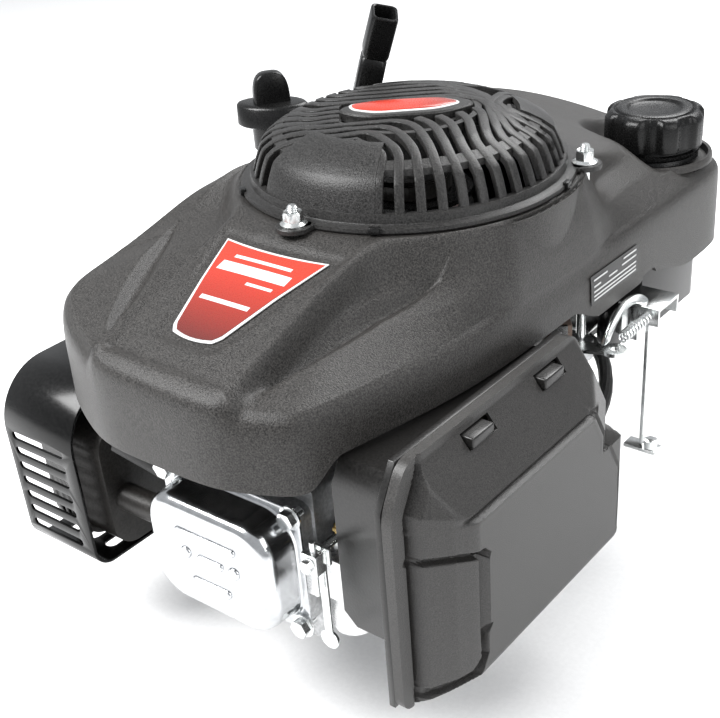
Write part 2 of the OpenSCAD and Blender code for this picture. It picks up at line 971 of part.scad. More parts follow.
// Three studs with their flange nuts; they clamp the grille and cover to the crankcase.
module housing_nuts() {
    color([0.82, 0.82, 0.8])
        for (a = stud_angles)
            rotate([0, 0, a])
                translate([nut_circle / 2, 0, 0]) {
                    translate([0, 0, 102])
                        cylinder(r = 3, h = 136);
                    translate([0, 0, 227])
                        cylinder(r = 7.5, h = 1.5);
                    translate([0, 0, 228])
                        cylinder(r = 5.8, h = 6, $fn = 6);
                }
}

// Rope: the turns on the pulley, and the run out through the guide to the grip.
module starter_rope() {
    g = [grip_at[0], grip_at[1]];
    start = atan2(g[1], g[0]) + acos(29.5 / norm(g));
    wound = [for (a = [0 : 20 : 680])
        [29.5 * cos(start + a - 680), 29.5 * sin(start + a - 680), 205 + 4.2 * a / 680]];
    run = rounded([wound[34], [g[0] * 0.86 + 4, g[1] * 0.86 + 4, 208], [g[0], g[1], 208.5],
        [g[0], g[1], 216], [g[0], g[1], 252]], 2);
    color([0.86, 0.72, 0.7])
        tube(concat([for (i = [0 : 33]) wound[i]], run), 1.9, ref = [0.31, 0.42, 0.85], sides = 8);
}

// Hollow square grip, bent once, that sits over the rope guide.
module starter_grip() {
    low = [grip_at[0], grip_at[1], 234];
    knee = [grip_at[0] + 6, grip_at[1] + 3.4, 260];
    top = [grip_at[0] + 18.9, grip_at[1] + 0.5, 292];
    color([0.04, 0.04, 0.045])
        difference() {
            union() {
                grip_arm(low, knee, 17.5);
                grip_arm(knee, top, 17.5);
            }
            grip_arm(knee + (top - knee) / 4, top + (top - knee) / 3, 13);
            translate([grip_at[0], grip_at[1], 225])
                cylinder(r = 2.05, h = 30);
        }
}

// One square arm of the grip, run a little past each end so that the arms join.
module grip_arm(a, b, w) {
    d = b - a;
    translate(a)
        rotate([0, acos(d[2] / norm(d)), atan2(d[1], d[0])])
            rotate([0, 0, -atan2(d[1], d[0])])
                translate([-w / 2, -w / 2, 0])
                    cube([w, w, norm(d)]);
}

// ---------- carburettor and its controls ----------

module carburetor() {
    color([0.7, 0.71, 0.72])
        difference() {
            union() {
                translate([57, carb_y - 13, cylinder_z - 13])
                    cube([26.5, 26, 27]);
                translate([52.2, carb_y - 17, cylinder_z - 12])
                    cube([5, 34, 24]);
                translate([70, carb_y, 26])
                    cylinder(r = 12.5, h = cylinder_z - 36);
                translate([70, carb_y, 22])
                    cylinder(r = 5, h = 5, $fn = 6);
                for (x = [throttle_x, choke_x])
                    translate([x, carb_y, cylinder_z + 10])
                        cylinder(r = 3.8, h = 9);
                y_rod(70, cylinder_z - 6, 3, carb_y + 12, carb_y + 24);
            }
            x_rod(carb_y, cylinder_z, 7.5, 50, 90);
            for (x = [throttle_x, choke_x])
                translate([x, carb_y, cylinder_z - 11])
                    cylinder(r = 2.05, h = 40);
        }
}

// Shaft, butterfly disc and lever of the throttle, shown open.
module throttle_valve() {
    color([0.75, 0.7, 0.5])
        translate([throttle_x, carb_y, 0]) {
            translate([0, 0, cylinder_z - 10.5])
                cylinder(r = 2, h = 38.5);
            y_rod(0, cylinder_z, 7.1, -0.6, 0.6);
            difference() {
                union() {
                    translate([-1, -3, cylinder_z + 25])
                        cube([13, 6, 2]);
                    translate([12, 0, cylinder_z + 25])
                        cylinder(r = 4, h = 2);
                }
                translate([12, 0, cylinder_z + 20])
                    cylinder(r = 1.3, h = 10);
            }
        }
}

module choke_valve() {
    color([0.75, 0.7, 0.5])
        translate([choke_x, carb_y, 0]) {
            translate([0, 0, cylinder_z - 10.5])
                cylinder(r = 2, h = 34);
            y_rod(0, cylinder_z, 7.1, -0.6, 0.6);
            translate([-3, -12, cylinder_z + 20.5])
                cube([6, 15, 2]);
        }
}

// Governor lever on its shaft, which goes down into the crankcase.
module governor_arm() {
    color([0.8, 0.8, 0.78])
        translate([throttle_x, -10, 0]) {
            translate([0, 0, 92])
                cylinder(r = 3, h = 26);
            difference() {
                union() {
                    translate([-1, -4, 114])
                        cube([13, 8, 2]);
                    translate([12, 0, 114])
                        cylinder(r = 4, h = 2);
                    translate([0, 0, 113])
                        cylinder(r = 6, h = 4);
                }
                translate([12, 0, 110])
                    cylinder(r = 1.3, h = 10);
            }
        }
}

// Wire between the governor lever and the throttle lever.
module throttle_link() {
    x = throttle_x + 12;
    color([0.85, 0.85, 0.83])
        tube([[x, -10, 112.5], [x, -10, 118], [x, -11, 119], [x, carb_y + 17, 119],
            [x, carb_y + 16, 118], [x, carb_y + 14, 94], [x, carb_y + 1, 91.5],
            [x, carb_y, 90.5], [x, carb_y, 85]], 1.1, sides = 8);
}

// Bent plate on top of the carburettor that holds the cable clamp.
module throttle_bracket() {
    color([0.83, 0.84, 0.85]) {
        translate([66, carb_y + 8, cylinder_z + 14])
            cube([2, 5, 26]);
        translate([66, carb_y + 8, cylinder_z + 38])
            cube([2, 15, 2]);
        translate([66, carb_y + 18, cylinder_z + 38])
            cube([17, 5, 2]);
        translate([79, carb_y - 30, cylinder_z + 38])
            cube([4, 53, 2]);
        translate([74, carb_y - 32, cylinder_z + 30])
            cube([11, 2, 10]);
        translate([76, carb_y - 32, 40])
            cube([5, 2, 54]);
        y_rod(78.5, 40, 6, carb_y - 32, carb_y - 30);
    }
}

// Zinc block, screw and the end of the inner wire it clamps.
module cable_clamp() {
    color([0.84, 0.85, 0.86])
        translate([73, carb_y - 40, cylinder_z + 27]) {
            difference() {
                cube([10, 7.8, 12]);
                translate([5, 4, -1])
                    cylinder(r = 1.6, h = 20);
            }
            translate([5, 4, -16])
                cylinder(r = 1.6, h = 34);
            translate([5, 0, 6])
                rotate([90, 0, 0])
                    cylinder(r = 4, h = 3.5, $fn = 6);
        }
}

// ---------- air cleaner ----------

// Outline of the air cleaner seen from the side, grown or shrunk by a margin.
module rim_plan(m) {
    polygon([[-188 - m, 12 - m], [-188 - m, 133 + m * 0.4], [-176 - m * 0.4, 154 + m],
        [-22, 154 + m], [2 + m, 112], [2 + m, 12 - m]]);
}

// The same outline stood up across X at a given x.
module rim_slice(x, thickness, m) {
    translate([x, 0, 0])
        rotate([90, 0, 90])
            linear_extrude(thickness)
                rim_plan(m);
}

// Section of the housing seen from the front, its lower inner corner cut off.
module housing_section(m) {
    polygon([[84 + m, 150 - m], [rim_x + 1, 150 - m], [rim_x + 1, 49 + m],
        [92 + m * 0.4, 49 + m], [84 + m, 57 + m * 0.4]]);
}

module air_cleaner_base() {
    color([0.13, 0.13, 0.135])
        difference() {
            union() {
                intersection() {
                    translate([0, box_rear, 0])
                        rotate([90, 0, 0])
                            linear_extrude(154)
                                housing_section(0);
                    rim_slice(80, 60, 0);
                }
                rim_slice(rim_x - 4, 4, 3);
                x_rod(carb_y, cylinder_z, 12, 83.7, 98);
            }
            intersection() {
                translate([0, box_rear - 2.5, 0])
                    rotate([90, 0, 0])
                        linear_extrude(160)
                            housing_section(2.5);
                rim_slice(80, 60, -2.5);
            }
            x_rod(carb_y, cylinder_z, 9.5, 80, 100);
        }
}

module filter_element() {
    color([0.86, 0.82, 0.7])
        difference() {
            translate([rim_x - 18, -178, 66])
                cube([24, 140, 66]);
            for (i = [0 : 16])
                translate([rim_x - 19, -174 + 8 * i, 70])
                    cube([20, 3, 58]);
        }
}

module air_cleaner_cover() {
    x1 = rim_x + cover_depth;
    color([0.15, 0.15, 0.155])
        difference() {
            union() {
                hull() {
                    rim_slice(rim_x + 0.4, 9, 4);
                    translate([x1 - 1, 0, 0])
                        rotate([90, 0, 90])
                            linear_extrude(1)
                                polygon([[-168, 14], [-168, 103], [-150, 121],
                                    [-30, 121], [-6, 96], [-6, 14]]);
                }
            }
            hull() {
                rim_slice(rim_x - 1, 10, 1);
                translate([x1 - 3.5, 0, 0])
                    rotate([90, 0, 90])
                        linear_extrude(1)
                            polygon([[-165, 17], [-165, 102], [-149, 118],
                                [-31, 118], [-9, 95], [-9, 17]]);
            }
            for (y = [-132, -64])
                translate([rim_x + 5, y, 144])
                    cube([9, 20, 30]);
        }
}

// ---------- exhaust ----------

module muffler() {
    color([0.2, 0.19, 0.18])
        difference() {
            union() {
                translate([-112, -146, 54])
                    rotate([0, -90, 0])
                        linear_extrude(58)
                            round_rect(88, 64, 18);
                translate([-140, -146, 54])
                    rotate([0, -90, 0])
                        linear_extrude(4)
                            round_rect(94, 70, 20);
                x_rod(carb_y - 2, cylinder_z - valve_z, 9, -114, -53);
                translate([-57, carb_y - 20, cylinder_z - valve_z - 12])
                    cube([4.9, 36, 24]);
            }
            x_rod(carb_y - 2, cylinder_z - valve_z, 6.5, -118, -50);
            translate([-114, -146, 54])
                rotate([0, -90, 0])
                    linear_extrude(54)
                        round_rect(84, 60, 16);
            for (i = [0 : 3])
                translate([-164 + 6 * i, -190, 18])
                    cube([3, 14, 14]);
        }
}

// Side view of the guard: floor, front and a top rolled back over the muffler.
module guard_blank(inset) {
    top_r = 38 - inset;
    low_r = 14 - inset;
    translate([-154, 0.4 + inset])
        square([60, 123.6 - 2 * inset]);
    translate([-192 + inset, 14.4])
        square([50, 71.6]);
    translate([-178, 14.4])
        circle(r = low_r);
    translate([-178, 0.4 + inset])
        square([30, 20]);
    translate([-154, 86])
        circle(r = top_r);
}

module muffler_guard() {
    color([0.04, 0.04, 0.045])
        translate([-183, 0, 0])
            difference() {
                rotate([90, 0, 90])
                    linear_extrude(64)
                        difference() {
                            guard_blank(0);
                            guard_blank(2);
                            translate([-112, -10])
                                square([40, 200]);
                        }
                for (i = [0 : 6])
                    translate([6, -200, 15 + 11 * i])
                        cube([48, 20, 5.5]);
                for (i = [0 : 2])
                    translate([12 + 16 * i, -172, -4])
                        cube([8, 34, 10]);
            }
}

// ---------- fuel ----------

// Plan of the tank, notched at the corner where the control bracket stands.
module tank_plan(m) {
    difference() {
        translate([0, 159])
            round_rect(190 - 2 * m, 110 - 2 * m, 16 - m);
        translate([68 - m, 90])
            square([60, 32 + m]);
    }
}

module fuel_tank() {
    color([0.11, 0.11, 0.115])
        difference() {
            union() {
                translate([0, 0, 84])
                    linear_extrude(76)
                        tank_plan(0);
                translate([neck[0], neck[1], 158])
                    cylinder(r = 28, h = 36);
                y_rod(60, 93, 3.5, 96, 106);
            }
            translate([0, 0, 87])
                linear_extrude(70)
                    tank_plan(3);
            translate([neck[0], neck[1], 150])
                cylinder(r = 24.5, h = 60);
            y_rod(60, 93, 1.8, 90, 110);
        }
}

module fuel_cap() {
    color([0.035, 0.035, 0.035])
        translate([neck[0], neck[1], 0])
            difference() {
                union() {
                    translate([0, 0, 193.5])
                        cylinder(r = cap_d / 2 - 0.5, h = 22);
                    translate([0, 0, 215])
                        cylinder(r1 = cap_d / 2 - 0.5, r2 = cap_d / 2 - 5, h = 5);
                    for (a = [0 : 30 : 330])
                        rotate([0, 0, a])
                            translate([cap_d / 2 - 3.5, 0, 194])
                                cylinder(r = 4, h = 20);
                }
                translate([0, 0, 193])
                    cylinder(r = 28.4, h = 18);
                translate([0, 0, 218.4])
                    cylinder(r = 17.4, h = 3);
            }
}

module fuel_line() {
    color([0.05, 0.05, 0.05])
        tube(rounded([[60, 103, 93], [60, 94, 93], [84, 92, 84], [99, 72, 62], [100, 40, 48],
            [99, 4, 37], [88, -26, 36], [74, -60, 40], [70, carb_y + 40, 56],
            [70, carb_y + 13.4, 56]], 2), 4.8, hole = 3.6, ref = [0, 0.1, 1]);
}

// ---------- cover ----------

// Distance from the crank axis to the cover's edge in direction a: a rounded
// polygon, each side given by the direction of its normal and its distance.
function edge_r(a) =
    let (sides = [[-90, cover_front], [-64, 218.5], [-12.4, 123], [0, 108], [62, 250],
            [90, cover_back], [125, 240], [180, 118], [-141, 203], [-116, 219]],
        p = 24)
    pow(vsum([for (s = sides) pow(max(0, cos(a - s[0])) / s[1], p)]), -1 / p);

function vsum(v, i = 0) = i >= len(v) ? 0 : v[i] + vsum(v, i + 1);

// A smooth bump of height 1 around direction c.
function bump(a, c, width) =
    let (d = abs(((a - c + 540) % 360) - 180))
    exp(-pow(d / width, 2));

function shoulder_z(a) = 186 - 10 * bump(a, 5, 50) + 27 * bump(a, 202, 40)
    + 12 * bump(a, 135, 40) + 12 * bump(a, 100, 26) - 5 * bump(a, 62, 16);

// Rises smoothly from 0 before a to 1 beyond b.
function step(a, b, x) =
    let (t = max(0, min(1, (x - a) / (b - a))))
    t * t * (3 - 2 * t);

// Height of the cover's lower edge: raised over the air cleaner, lowered at the tank.
function hem_z(a) =
    let (b = a > 180 ? a - 360 : a)
    138 + 13.5 * (step(-68, -64, b) - step(4, 22, b))
    - 13.5 * (step(46, 58, b) - step(112, 140, b));

// Section of the cover in direction a: points from the opening out to the hem.
function cover_section(a) =
    let (r = edge_r(a), z = shoulder_z(a), inner = 104)
    [[90, 223.6], [inner, 223.6],
        [inner + (r - inner) * 0.5, z + (223 - z) * 0.64],
        [r - max(3, min(13, (r - inner) * 0.28)), z + (223 - z) * 0.12],
        [r - 1.6, z - 12], [r, hem_z(a)]];

module shroud() {
    steps = 90;
    rows = 6;
    outside = [for (i = [0 : steps - 1])
        let (a = 360 * i / steps, s = cover_section(a))
        [for (p = s) [p[0] * cos(a), p[0] * sin(a), p[1]]]];
    inside = [for (i = [0 : steps - 1])
        let (a = 360 * i / steps, s = cover_section(a))
        [for (k = [rows - 1 : -1 : 0])
            let (r = k == 0 ? s[k][0] : s[k][0] - wall * (k < 2 ? 0.2 : 1),
                z = k == rows - 1 ? s[k][1] : s[k][1] - wall)
            [r * cos(a), r * sin(a), z]]];
    loop = 2 * rows;
    points = [for (i = [0 : steps - 1]) each concat(outside[i], inside[i])];
    faces = [for (i = [0 : steps - 1], k = [0 : loop - 1])
        let (j = (i + 1) % steps, n = (k + 1) % loop)
        each [[i * loop + k, i * loop + n, j * loop + k],
            [i * loop + n, j * loop + n, j * loop + k]]];
    color([0.12, 0.12, 0.125])
        difference() {
            polyhedron(points = points, faces = faces, convexity = 8);
            translate([neck[0], neck[1], 150])
                cylinder(r = 35, h = 80);
            for (a = stud_angles)
                rotate([0, 0, a])
                    translate([nut_circle / 2, 0, 200])
                        cylinder(r = 3.05, h = 40);
            translate([grip_at[0], grip_at[1], 190])
                cylinder(r = 5, h = 60);
            translate([70, 84, 100])
                cube([60, 38, 41]);
        }
}

// ---------- oil filler ----------

module oil_filler_tube() {
    color([0.1, 0.1, 0.105])
        tube(rounded([[-68, 21.3, 44.6], [-112, 28, 70], [-138, 35, 92], [-138, 35, 140],
            [-138, 35, 221]], 2), 9, hole = 7, ref = [0, 1, 0], sides = 24);
}

// Filler cap with a winged handle and the measuring blade below it.
module dipstick() {
    color([0.07, 0.07, 0.075])
        translate([-138, 35, 9]) {
            difference() {
                translate([0, 0, 198])
                    cylinder(r = 15, h = 30);
                translate([0, 0, 190])
                    cylinder(r = 9.3, h = 30);
            }
            translate([-25, -8, 216.5])
                cube([50, 16, 12.5]);
            translate([-12, -5, 226])
                cube([24, 10, 24]);
            translate([-3, -1, 112])
                cube([6, 2, 110]);
        }
}

// ---------- flywheel brake and control bracket ----------

module brake_bracket() {
    color([0.84, 0.85, 0.86]) {
        difference() {
            translate([70, 88, 113])
                cube([54, 28, 12]);
            translate([60, 90, 112])
                cube([70, 24, 11]);
        }
        translate([70, 60, 112.2])
            cube([20, 32, 2.4]);
        translate([109.2, 72, 102])
            rotate([90, 0, 90])
                linear_extrude(2.4)
                    difference() {
                        circle(r = 35);
                        circle(r = 29);
                        translate([-50, -50])
                            square([100, 50]);
                        translate([-50, -10])
                            square([28, 26]);
                    }
        translate([109.2, 101, 14])
            cube([2.4, 6, 88.5]);
        translate([104, 88, 100])
            cube([5.7, 17, 14]);
        translate([100, 96, 12])
            cube([23, 11, 2.4]);
        translate([117.5, 101.5, 14])
            cylinder(r = 5, h = 6, $fn = 6);
        translate([106.4, 67, 114])
            cube([3, 8, 22]);
        translate([82, 32, 104.5])
            cylinder(r = 2.97, h = 12);
        translate([82, 32, 116.4])
            cylinder(r = 5, h = 1.2);
    }
}

module brake_lever() {
    color([0.84, 0.85, 0.86]) {
        translate([82, 32, 0]) {
            difference() {
                union() {
                    translate([0, 0, 113.5])
                        cylinder(r = 8, h = 2.5);
                    rotate([0, 0, 19])
                        translate([0, -5, 113.5])
                            cube([37, 10, 2.5]);
                    rotate([0, 0, 19])
                        translate([37, 0, 113.5])
                            cylinder(r = 7.5, h = 2.5);
                    rotate([0, 0, -52])
                        translate([0, -5, 113.5])
                            cube([20, 10, 2.5]);
                    rotate([0, 0, -52])
                        translate([17.5, -5, 113.5])
                            cube([2.5, 10, 24]);
                }
                translate([0, 0, 110])
                    cylinder(r = 3.05, h = 20);
                rotate([0, 0, 19])
                    translate([37, 0, 110])
                        cylinder(r = 2.6, h = 20);
            }
        }
    }
}

module brake_pad() {
    color([0.25, 0.2, 0.16])
        difference() {
            translate([82, 32, 0])
                rotate([0, 0, -52])
                    translate([7.4, -8, 124.5])
                        cube([10, 16, 12]);
            cylinder(r = fly_r + 0.1, h = 200);
        }
}

module brake_spring() {
    color([0.7, 0.7, 0.72])
        translate([117, 52, 119.5])
            rotate([-90, 0, 0])
                coil(3, 0.8, 34, 9);
}

// Pressed cup of the return spring behind the bracket's hoop.
module spring_cup() {
    color([0.16, 0.16, 0.17]) {
        x_rod(70, 119, 16, 98.5, 106.3);
        x_rod(70, 119, 8, 96.5, 98.6);
    }
}

// ---------- drawing ----------

crankcase();
cylinder_sleeve();
oil_sump();
flange_bolts();
oil_seals();
crankshaft();
crank_pin();
connecting_rod();
piston();
piston_rings();
wrist_pin();
camshaft();
governor_gear();
intake_lifter();
exhaust_lifter();
cylinder_head();
head_bolts();
intake_valve();
exhaust_valve();
valve_springs();
rocker_stands();
intake_rocker();
exhaust_rocker();
valve_cover();
spark_plug();
plug_boot();
ignition_coil();
flywheel();
cooling_fan();
starter_cup();
flywheel_nut();
carburetor();
throttle_valve();
choke_valve();
governor_arm();
throttle_link();
throttle_bracket();
cable_clamp();
air_cleaner_base();
filter_element();
air_cleaner_cover();
muffler();
muffler_guard();
fuel_tank();
fuel_cap();
fuel_line();
shroud();
starter_housing();
housing_nuts();
starter_pulley();
recoil_spring();
starter_rope();
starter_grip();
oil_filler_tube();
dipstick();
brake_bracket();
brake_lever();
brake_pad();
brake_spring();
spring_cup();
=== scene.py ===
"""Looks of a small vertical-shaft gasoline engine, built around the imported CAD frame.

Lengths in the helpers are in millimetres and become metres in piece(). Axes are the
frame's: -Y is the cylinder head, +X the air cleaner, +Z up.
"""

import json
import math

import bmesh
import bpy
from mathutils import Matrix, Vector


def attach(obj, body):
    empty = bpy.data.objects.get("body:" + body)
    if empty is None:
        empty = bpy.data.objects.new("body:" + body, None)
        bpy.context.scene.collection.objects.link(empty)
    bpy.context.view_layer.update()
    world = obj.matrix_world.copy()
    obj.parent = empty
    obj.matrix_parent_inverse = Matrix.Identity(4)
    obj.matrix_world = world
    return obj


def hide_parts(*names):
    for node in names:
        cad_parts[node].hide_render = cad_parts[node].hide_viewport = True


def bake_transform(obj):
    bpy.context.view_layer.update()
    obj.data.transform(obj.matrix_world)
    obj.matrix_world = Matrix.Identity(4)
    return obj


MM = 0.001
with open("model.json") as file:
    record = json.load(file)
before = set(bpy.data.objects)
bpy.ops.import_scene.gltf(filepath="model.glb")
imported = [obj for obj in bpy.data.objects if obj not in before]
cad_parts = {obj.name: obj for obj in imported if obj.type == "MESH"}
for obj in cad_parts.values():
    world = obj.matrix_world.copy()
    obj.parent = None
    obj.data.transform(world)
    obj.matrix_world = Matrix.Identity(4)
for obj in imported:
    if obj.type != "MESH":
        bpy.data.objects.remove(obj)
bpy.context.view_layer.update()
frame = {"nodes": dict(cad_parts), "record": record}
scene = bpy.context.scene


# ---------------------------------------------------------------- small maths

def smooth(edge0, edge1, value):
    """Smooth step from 0 at edge0 to 1 at edge1."""
    t = min(1.0, max(0.0, (value - edge0) / (edge1 - edge0)))
    return t * t * (3 - 2 * t)


def lerp(a, b, t):
    return a + (b - a) * t


def table(points, value):
    """Piecewise linear reading of a list of (place, value) pairs."""
    if value <= points[0][0]:
        return points[0][1]
    for (x0, y0), (x1, y1) in zip(points, points[1:]):
        if value <= x1:
            return lerp(y0, y1, (value - x0) / (x1 - x0))
    return points[-1][1]


def bump_at(angle, centre, width):
    """A bump of height 1 around a direction, in degrees."""
    d = abs((angle - centre + 540) % 360 - 180)
    return math.exp(-((d / width) ** 2))


def cut_corners(points, times=1):
    """Chaikin's corner cutting, which keeps the two ends of the path."""
    for _ in range(times):
        out = [points[0]]
        for p, q in zip(points, points[1:]):
            out.append(tuple(lerp(a, b, 0.25) for a, b in zip(p, q)))
            out.append(tuple(lerp(a, b, 0.75) for a, b in zip(p, q)))
        points = out + [points[-1]]
    return points


def along(points, count):
    """Points spread evenly along a path."""
    pts = [Vector(p) for p in points]
    lengths = [0.0]
    for p, q in zip(pts, pts[1:]):
        lengths.append(lengths[-1] + (q - p).length)
    out, k = [], 0
    for i in range(count):
        s = lengths[-1] * i / (count - 1)
        while k < len(pts) - 2 and lengths[k + 1] < s:
            k += 1
        span = max(1e-9, lengths[k + 1] - lengths[k])
        out.append(pts[k].lerp(pts[k + 1], min(1.0, max(0.0, (s - lengths[k]) / span))))
    return out


def near_line(points, y, z):
    """Distance from (y, z) to a polyline, and how far along it the nearest place is, 0 to 1."""
    best, where = 1e9, 0.0
    for i, ((y0, z0), (y1, z1)) in enumerate(zip(points, points[1:])):
        dy, dz = y1 - y0, z1 - z0
        t = ((y - y0) * dy + (z - z0) * dz) / (dy * dy + dz * dz)
        t = min(1.0, max(0.0, t))
        d = math.hypot(y - y0 - t * dy, z - z0 - t * dz)
        if d < best:
            best, where = d, (i + t) / (len(points) - 1)
    return best, where


def round_box(width, height, radius, steps=6):
    """Outline of a rectangle with round corners, centred on 0, anticlockwise."""
    out = []
    for k, (sx, sy) in enumerate([(1, 1), (-1, 1), (-1, -1), (1, -1)]):
        for i in range(steps + 1):
            a = math.radians(90 * (k + i / steps))
            out.append((sx * (width / 2 - radius) + radius * math.cos(a),
                        sy * (height / 2 - radius) + radius * math.sin(a)))
    return out


def round_polygon(corners, radius, steps=8):
    """A convex polygon with each corner replaced by an arc-like curve."""
    out = []
    n = len(corners)
    for i in range(n):
        p, c, q = (Vector(corners[(i + k) % n]) for k in (-1, 0, 1))
        to_p, to_q = (p - c), (q - c)
        reach = min(radius, to_p.length * 0.45, to_q.length * 0.45)
        a, b = c + to_p.normalized() * reach, c + to_q.normalized() * reach
        for k in range(steps + 1):
            t = k / steps
            out.append(tuple(a * (1 - t) ** 2 + c * 2 * t * (1 - t) + b * t * t))
    return out


# ---------------------------------------------------------------- mesh helpers

def piece(name, verts, faces, material, body="block", sharp=35, ride=True):
    """A mesh object from points in millimetres."""
    mesh = bpy.data.meshes.new(name)
    mesh.from_pydata([tuple(c * MM for c in v) for v in verts], [], faces)
    mesh.validate()
    bm = bmesh.new()
    bm.from_mesh(mesh)
    bmesh.ops.remove_doubles(bm, verts=bm.verts, dist=1e-6)
    bmesh.ops.recalc_face_normals(bm, faces=bm.faces)
    bm.to_mesh(mesh)
    bm.free()
    obj = bpy.data.objects.new(name, mesh)
    scene.collection.objects.link(obj)
    if material is not None:
        mesh.materials.append(material)
    shade(obj, sharp)
    if ride:
        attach(obj, body)
    return obj


def shade(obj, sharp=35):
    for poly in obj.data.polygons:
        poly.use_smooth = True
    obj.data.set_sharp_from_angle(angle=math.radians(sharp))


def settle(obj, sharp=None):
    """Turns an object's modifiers into plain mesh."""
    bpy.context.view_layer.update()
    seen = obj.evaluated_get(bpy.context.evaluated_depsgraph_get())
    mesh = bpy.data.meshes.new_from_object(seen)
    obj.modifiers.clear()
    obj.data = mesh
    if sharp:
        shade(obj, sharp)
    return obj


def bevel(obj, width, segments=2, angle=32, sharp=40):
    mod = obj.modifiers.new("edges", "BEVEL")
    mod.width = width * MM
    mod.segments = segments
    mod.limit_method = "ANGLE"
    mod.angle_limit = math.radians(angle)
    mod.harden_normals = False
    return settle(obj, sharp)


def thicken(obj, depth, offset=-1):
    mod = obj.modifiers.new("wall", "SOLIDIFY")
    mod.thickness = depth * MM
    mod.offset = offset
    return settle(obj, 35)


def cut(obj, cutters):
    """Takes the cutters, which may not touch each other, out of an object."""
    join(cutters)
    mod = obj.modifiers.new("cut", "BOOLEAN")
    mod.operation = "DIFFERENCE"
    mod.solver = "EXACT"
    mod.object = cutters[0]
    settle(obj, 35)
    bpy.data.objects.remove(cutters[0], do_unlink=True)
    return obj


def open_disc(obj, centre, radius):
    """Leaves out the faces within a radius of an upright axis."""
    bm = bmesh.new()
    bm.from_mesh(obj.data)
    axis = Vector((centre[0] * MM, centre[1] * MM, 0))
    inside = [f for f in bm.faces
              if (f.calc_center_median() * Vector((1, 1, 0)) - axis).length < radius * MM]
    bmesh.ops.delete(bm, geom=inside, context="FACES")
    bm.to_mesh(obj.data)
    bm.free()


def join(objects):
    """Joins meshes into the first one."""
    bpy.context.view_layer.update()
    if len(objects) > 1:
        with bpy.context.temp_override(active_object=objects[0], object=objects[0],
                                       selected_objects=objects,
                                       selected_editable_objects=objects):
            bpy.ops.object.join()
    return objects[0]


def strip_faces(rows, count, closed):
    """Quads between rows of points that hold count points each."""
    faces = []
    last = count if closed else count - 1
    for r in range(rows - 1):
        for i in range(last):
            j = (i + 1) % count
            a, b = r * count, (r + 1) * count
            faces.append((a + i, a + j, b + j, b + i))
    return faces


def turn_steps(steps):
    """Even directions round a full turn."""
    return [2 * math.pi * i / steps for i in range(steps)]


def loft(name, rings, material, body="block", caps=(True, True), sharp=35, ride=True):
    """A skin through rings that hold the same number of points."""
    count = len(rings[0])
    verts = [p for ring in rings for p in ring]
    faces = strip_faces(len(rings), count, True)
    if caps[0]:
        faces.append(tuple(range(count)))
    if caps[1]:
        faces.append(tuple(range((len(rings) - 1) * count, len(rings) * count)))
    return piece(name, verts, faces, material, body, sharp, ride)


def lathe(name, profile, material, centre=(0, 0, 0), steps=64, body="block", closed=False,
          ride=True):
    """A profile of (radius, height) turned about an upright axis."""
    rows = [[tuple(Vector((r * math.cos(t), r * math.sin(t), h)) + Vector(centre))
             for t in turn_steps(steps)] for r, h in profile]
    if closed:
        rows.append(rows[0])
    return loft(name, rows, material, body, (not closed, not closed), ride=ride)


def pipe(name, path, radius, material, sides):
    """A round tube along a path."""
    pts = [Vector(p) for p in path]
    rings = []
    ref = Vector((0.31, 0.42, 0.85))
    for i, p in enumerate(pts):
        t = (pts[min(i + 1, len(pts) - 1)] - pts[max(i - 1, 0)]).normalized()
        side = t.cross(ref).normalized()
        up = side.cross(t)
        ref = up
        rings.append([tuple(p + (side * math.cos(a) + up * math.sin(a)) * radius)
                      for a in turn_steps(sides)])
    return loft(name, rings, material)


def block(name, low, high, material, body="block", soft=1.0, ride=True):
    """A box between two corners with rounded edges."""
    verts = [(x, y, z) for x in (low[0], high[0]) for y in (low[1], high[1])
             for z in (low[2], high[2])]
    faces = [(0, 1, 3, 2), (4, 6, 7, 5), (0, 4, 5, 1), (2, 3, 7, 6), (0, 2, 6, 4), (1, 5, 7, 3)]
    obj = piece(name, verts, faces, material, body, ride=ride)
    return bevel(obj, soft, 3) if soft else obj


def from_cad(name, node, material, width):
    """A copy of a CAD node with its edges rounded, which stands for the node."""
    source = frame["nodes"][node]
    mesh = source.data.copy()
    mesh.name = name
    mesh.materials.clear()
    mesh.materials.append(material)
    obj = bpy.data.objects.new(name, mesh)
    scene.collection.objects.link(obj)
    obj.matrix_world = source.matrix_world.copy()
    bm = bmesh.new()
    bm.from_mesh(mesh)
    bmesh.ops.remove_doubles(bm, verts=bm.verts, dist=2e-6)
    bmesh.ops.dissolve_limit(bm, angle_limit=math.radians(1.2), verts=bm.verts, edges=bm.edges)
    for poly in bm.faces:
        poly.material_index = 0
    bm.to_mesh(mesh)
    bm.free()
    if mesh.attributes.get("custom_normal"):
        mesh.attributes.remove(mesh.attributes["custom_normal"])
    bevel(obj, width)
    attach(obj, node_body(node))
    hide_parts(node)
    return obj


def node_body(node):
    for body, nodes in frame["record"]["behaviour"]["bodies"].items():
        if node in nodes:
            return body
    return "block"


def node_slot(node):
    for row in frame["record"]["subparts"]:
        if row["node"] == node:
            return row["material_slot"]
    return "steel"


# ---------------------------------------------------------------- materials

def node_of(tree, kind, **settings):
    node = tree.nodes.new(kind)
    for key, value in settings.items():
        if key in node.inputs:
            node.inputs[key].default_value = value
        else:
            setattr(node, key, value)
    return node


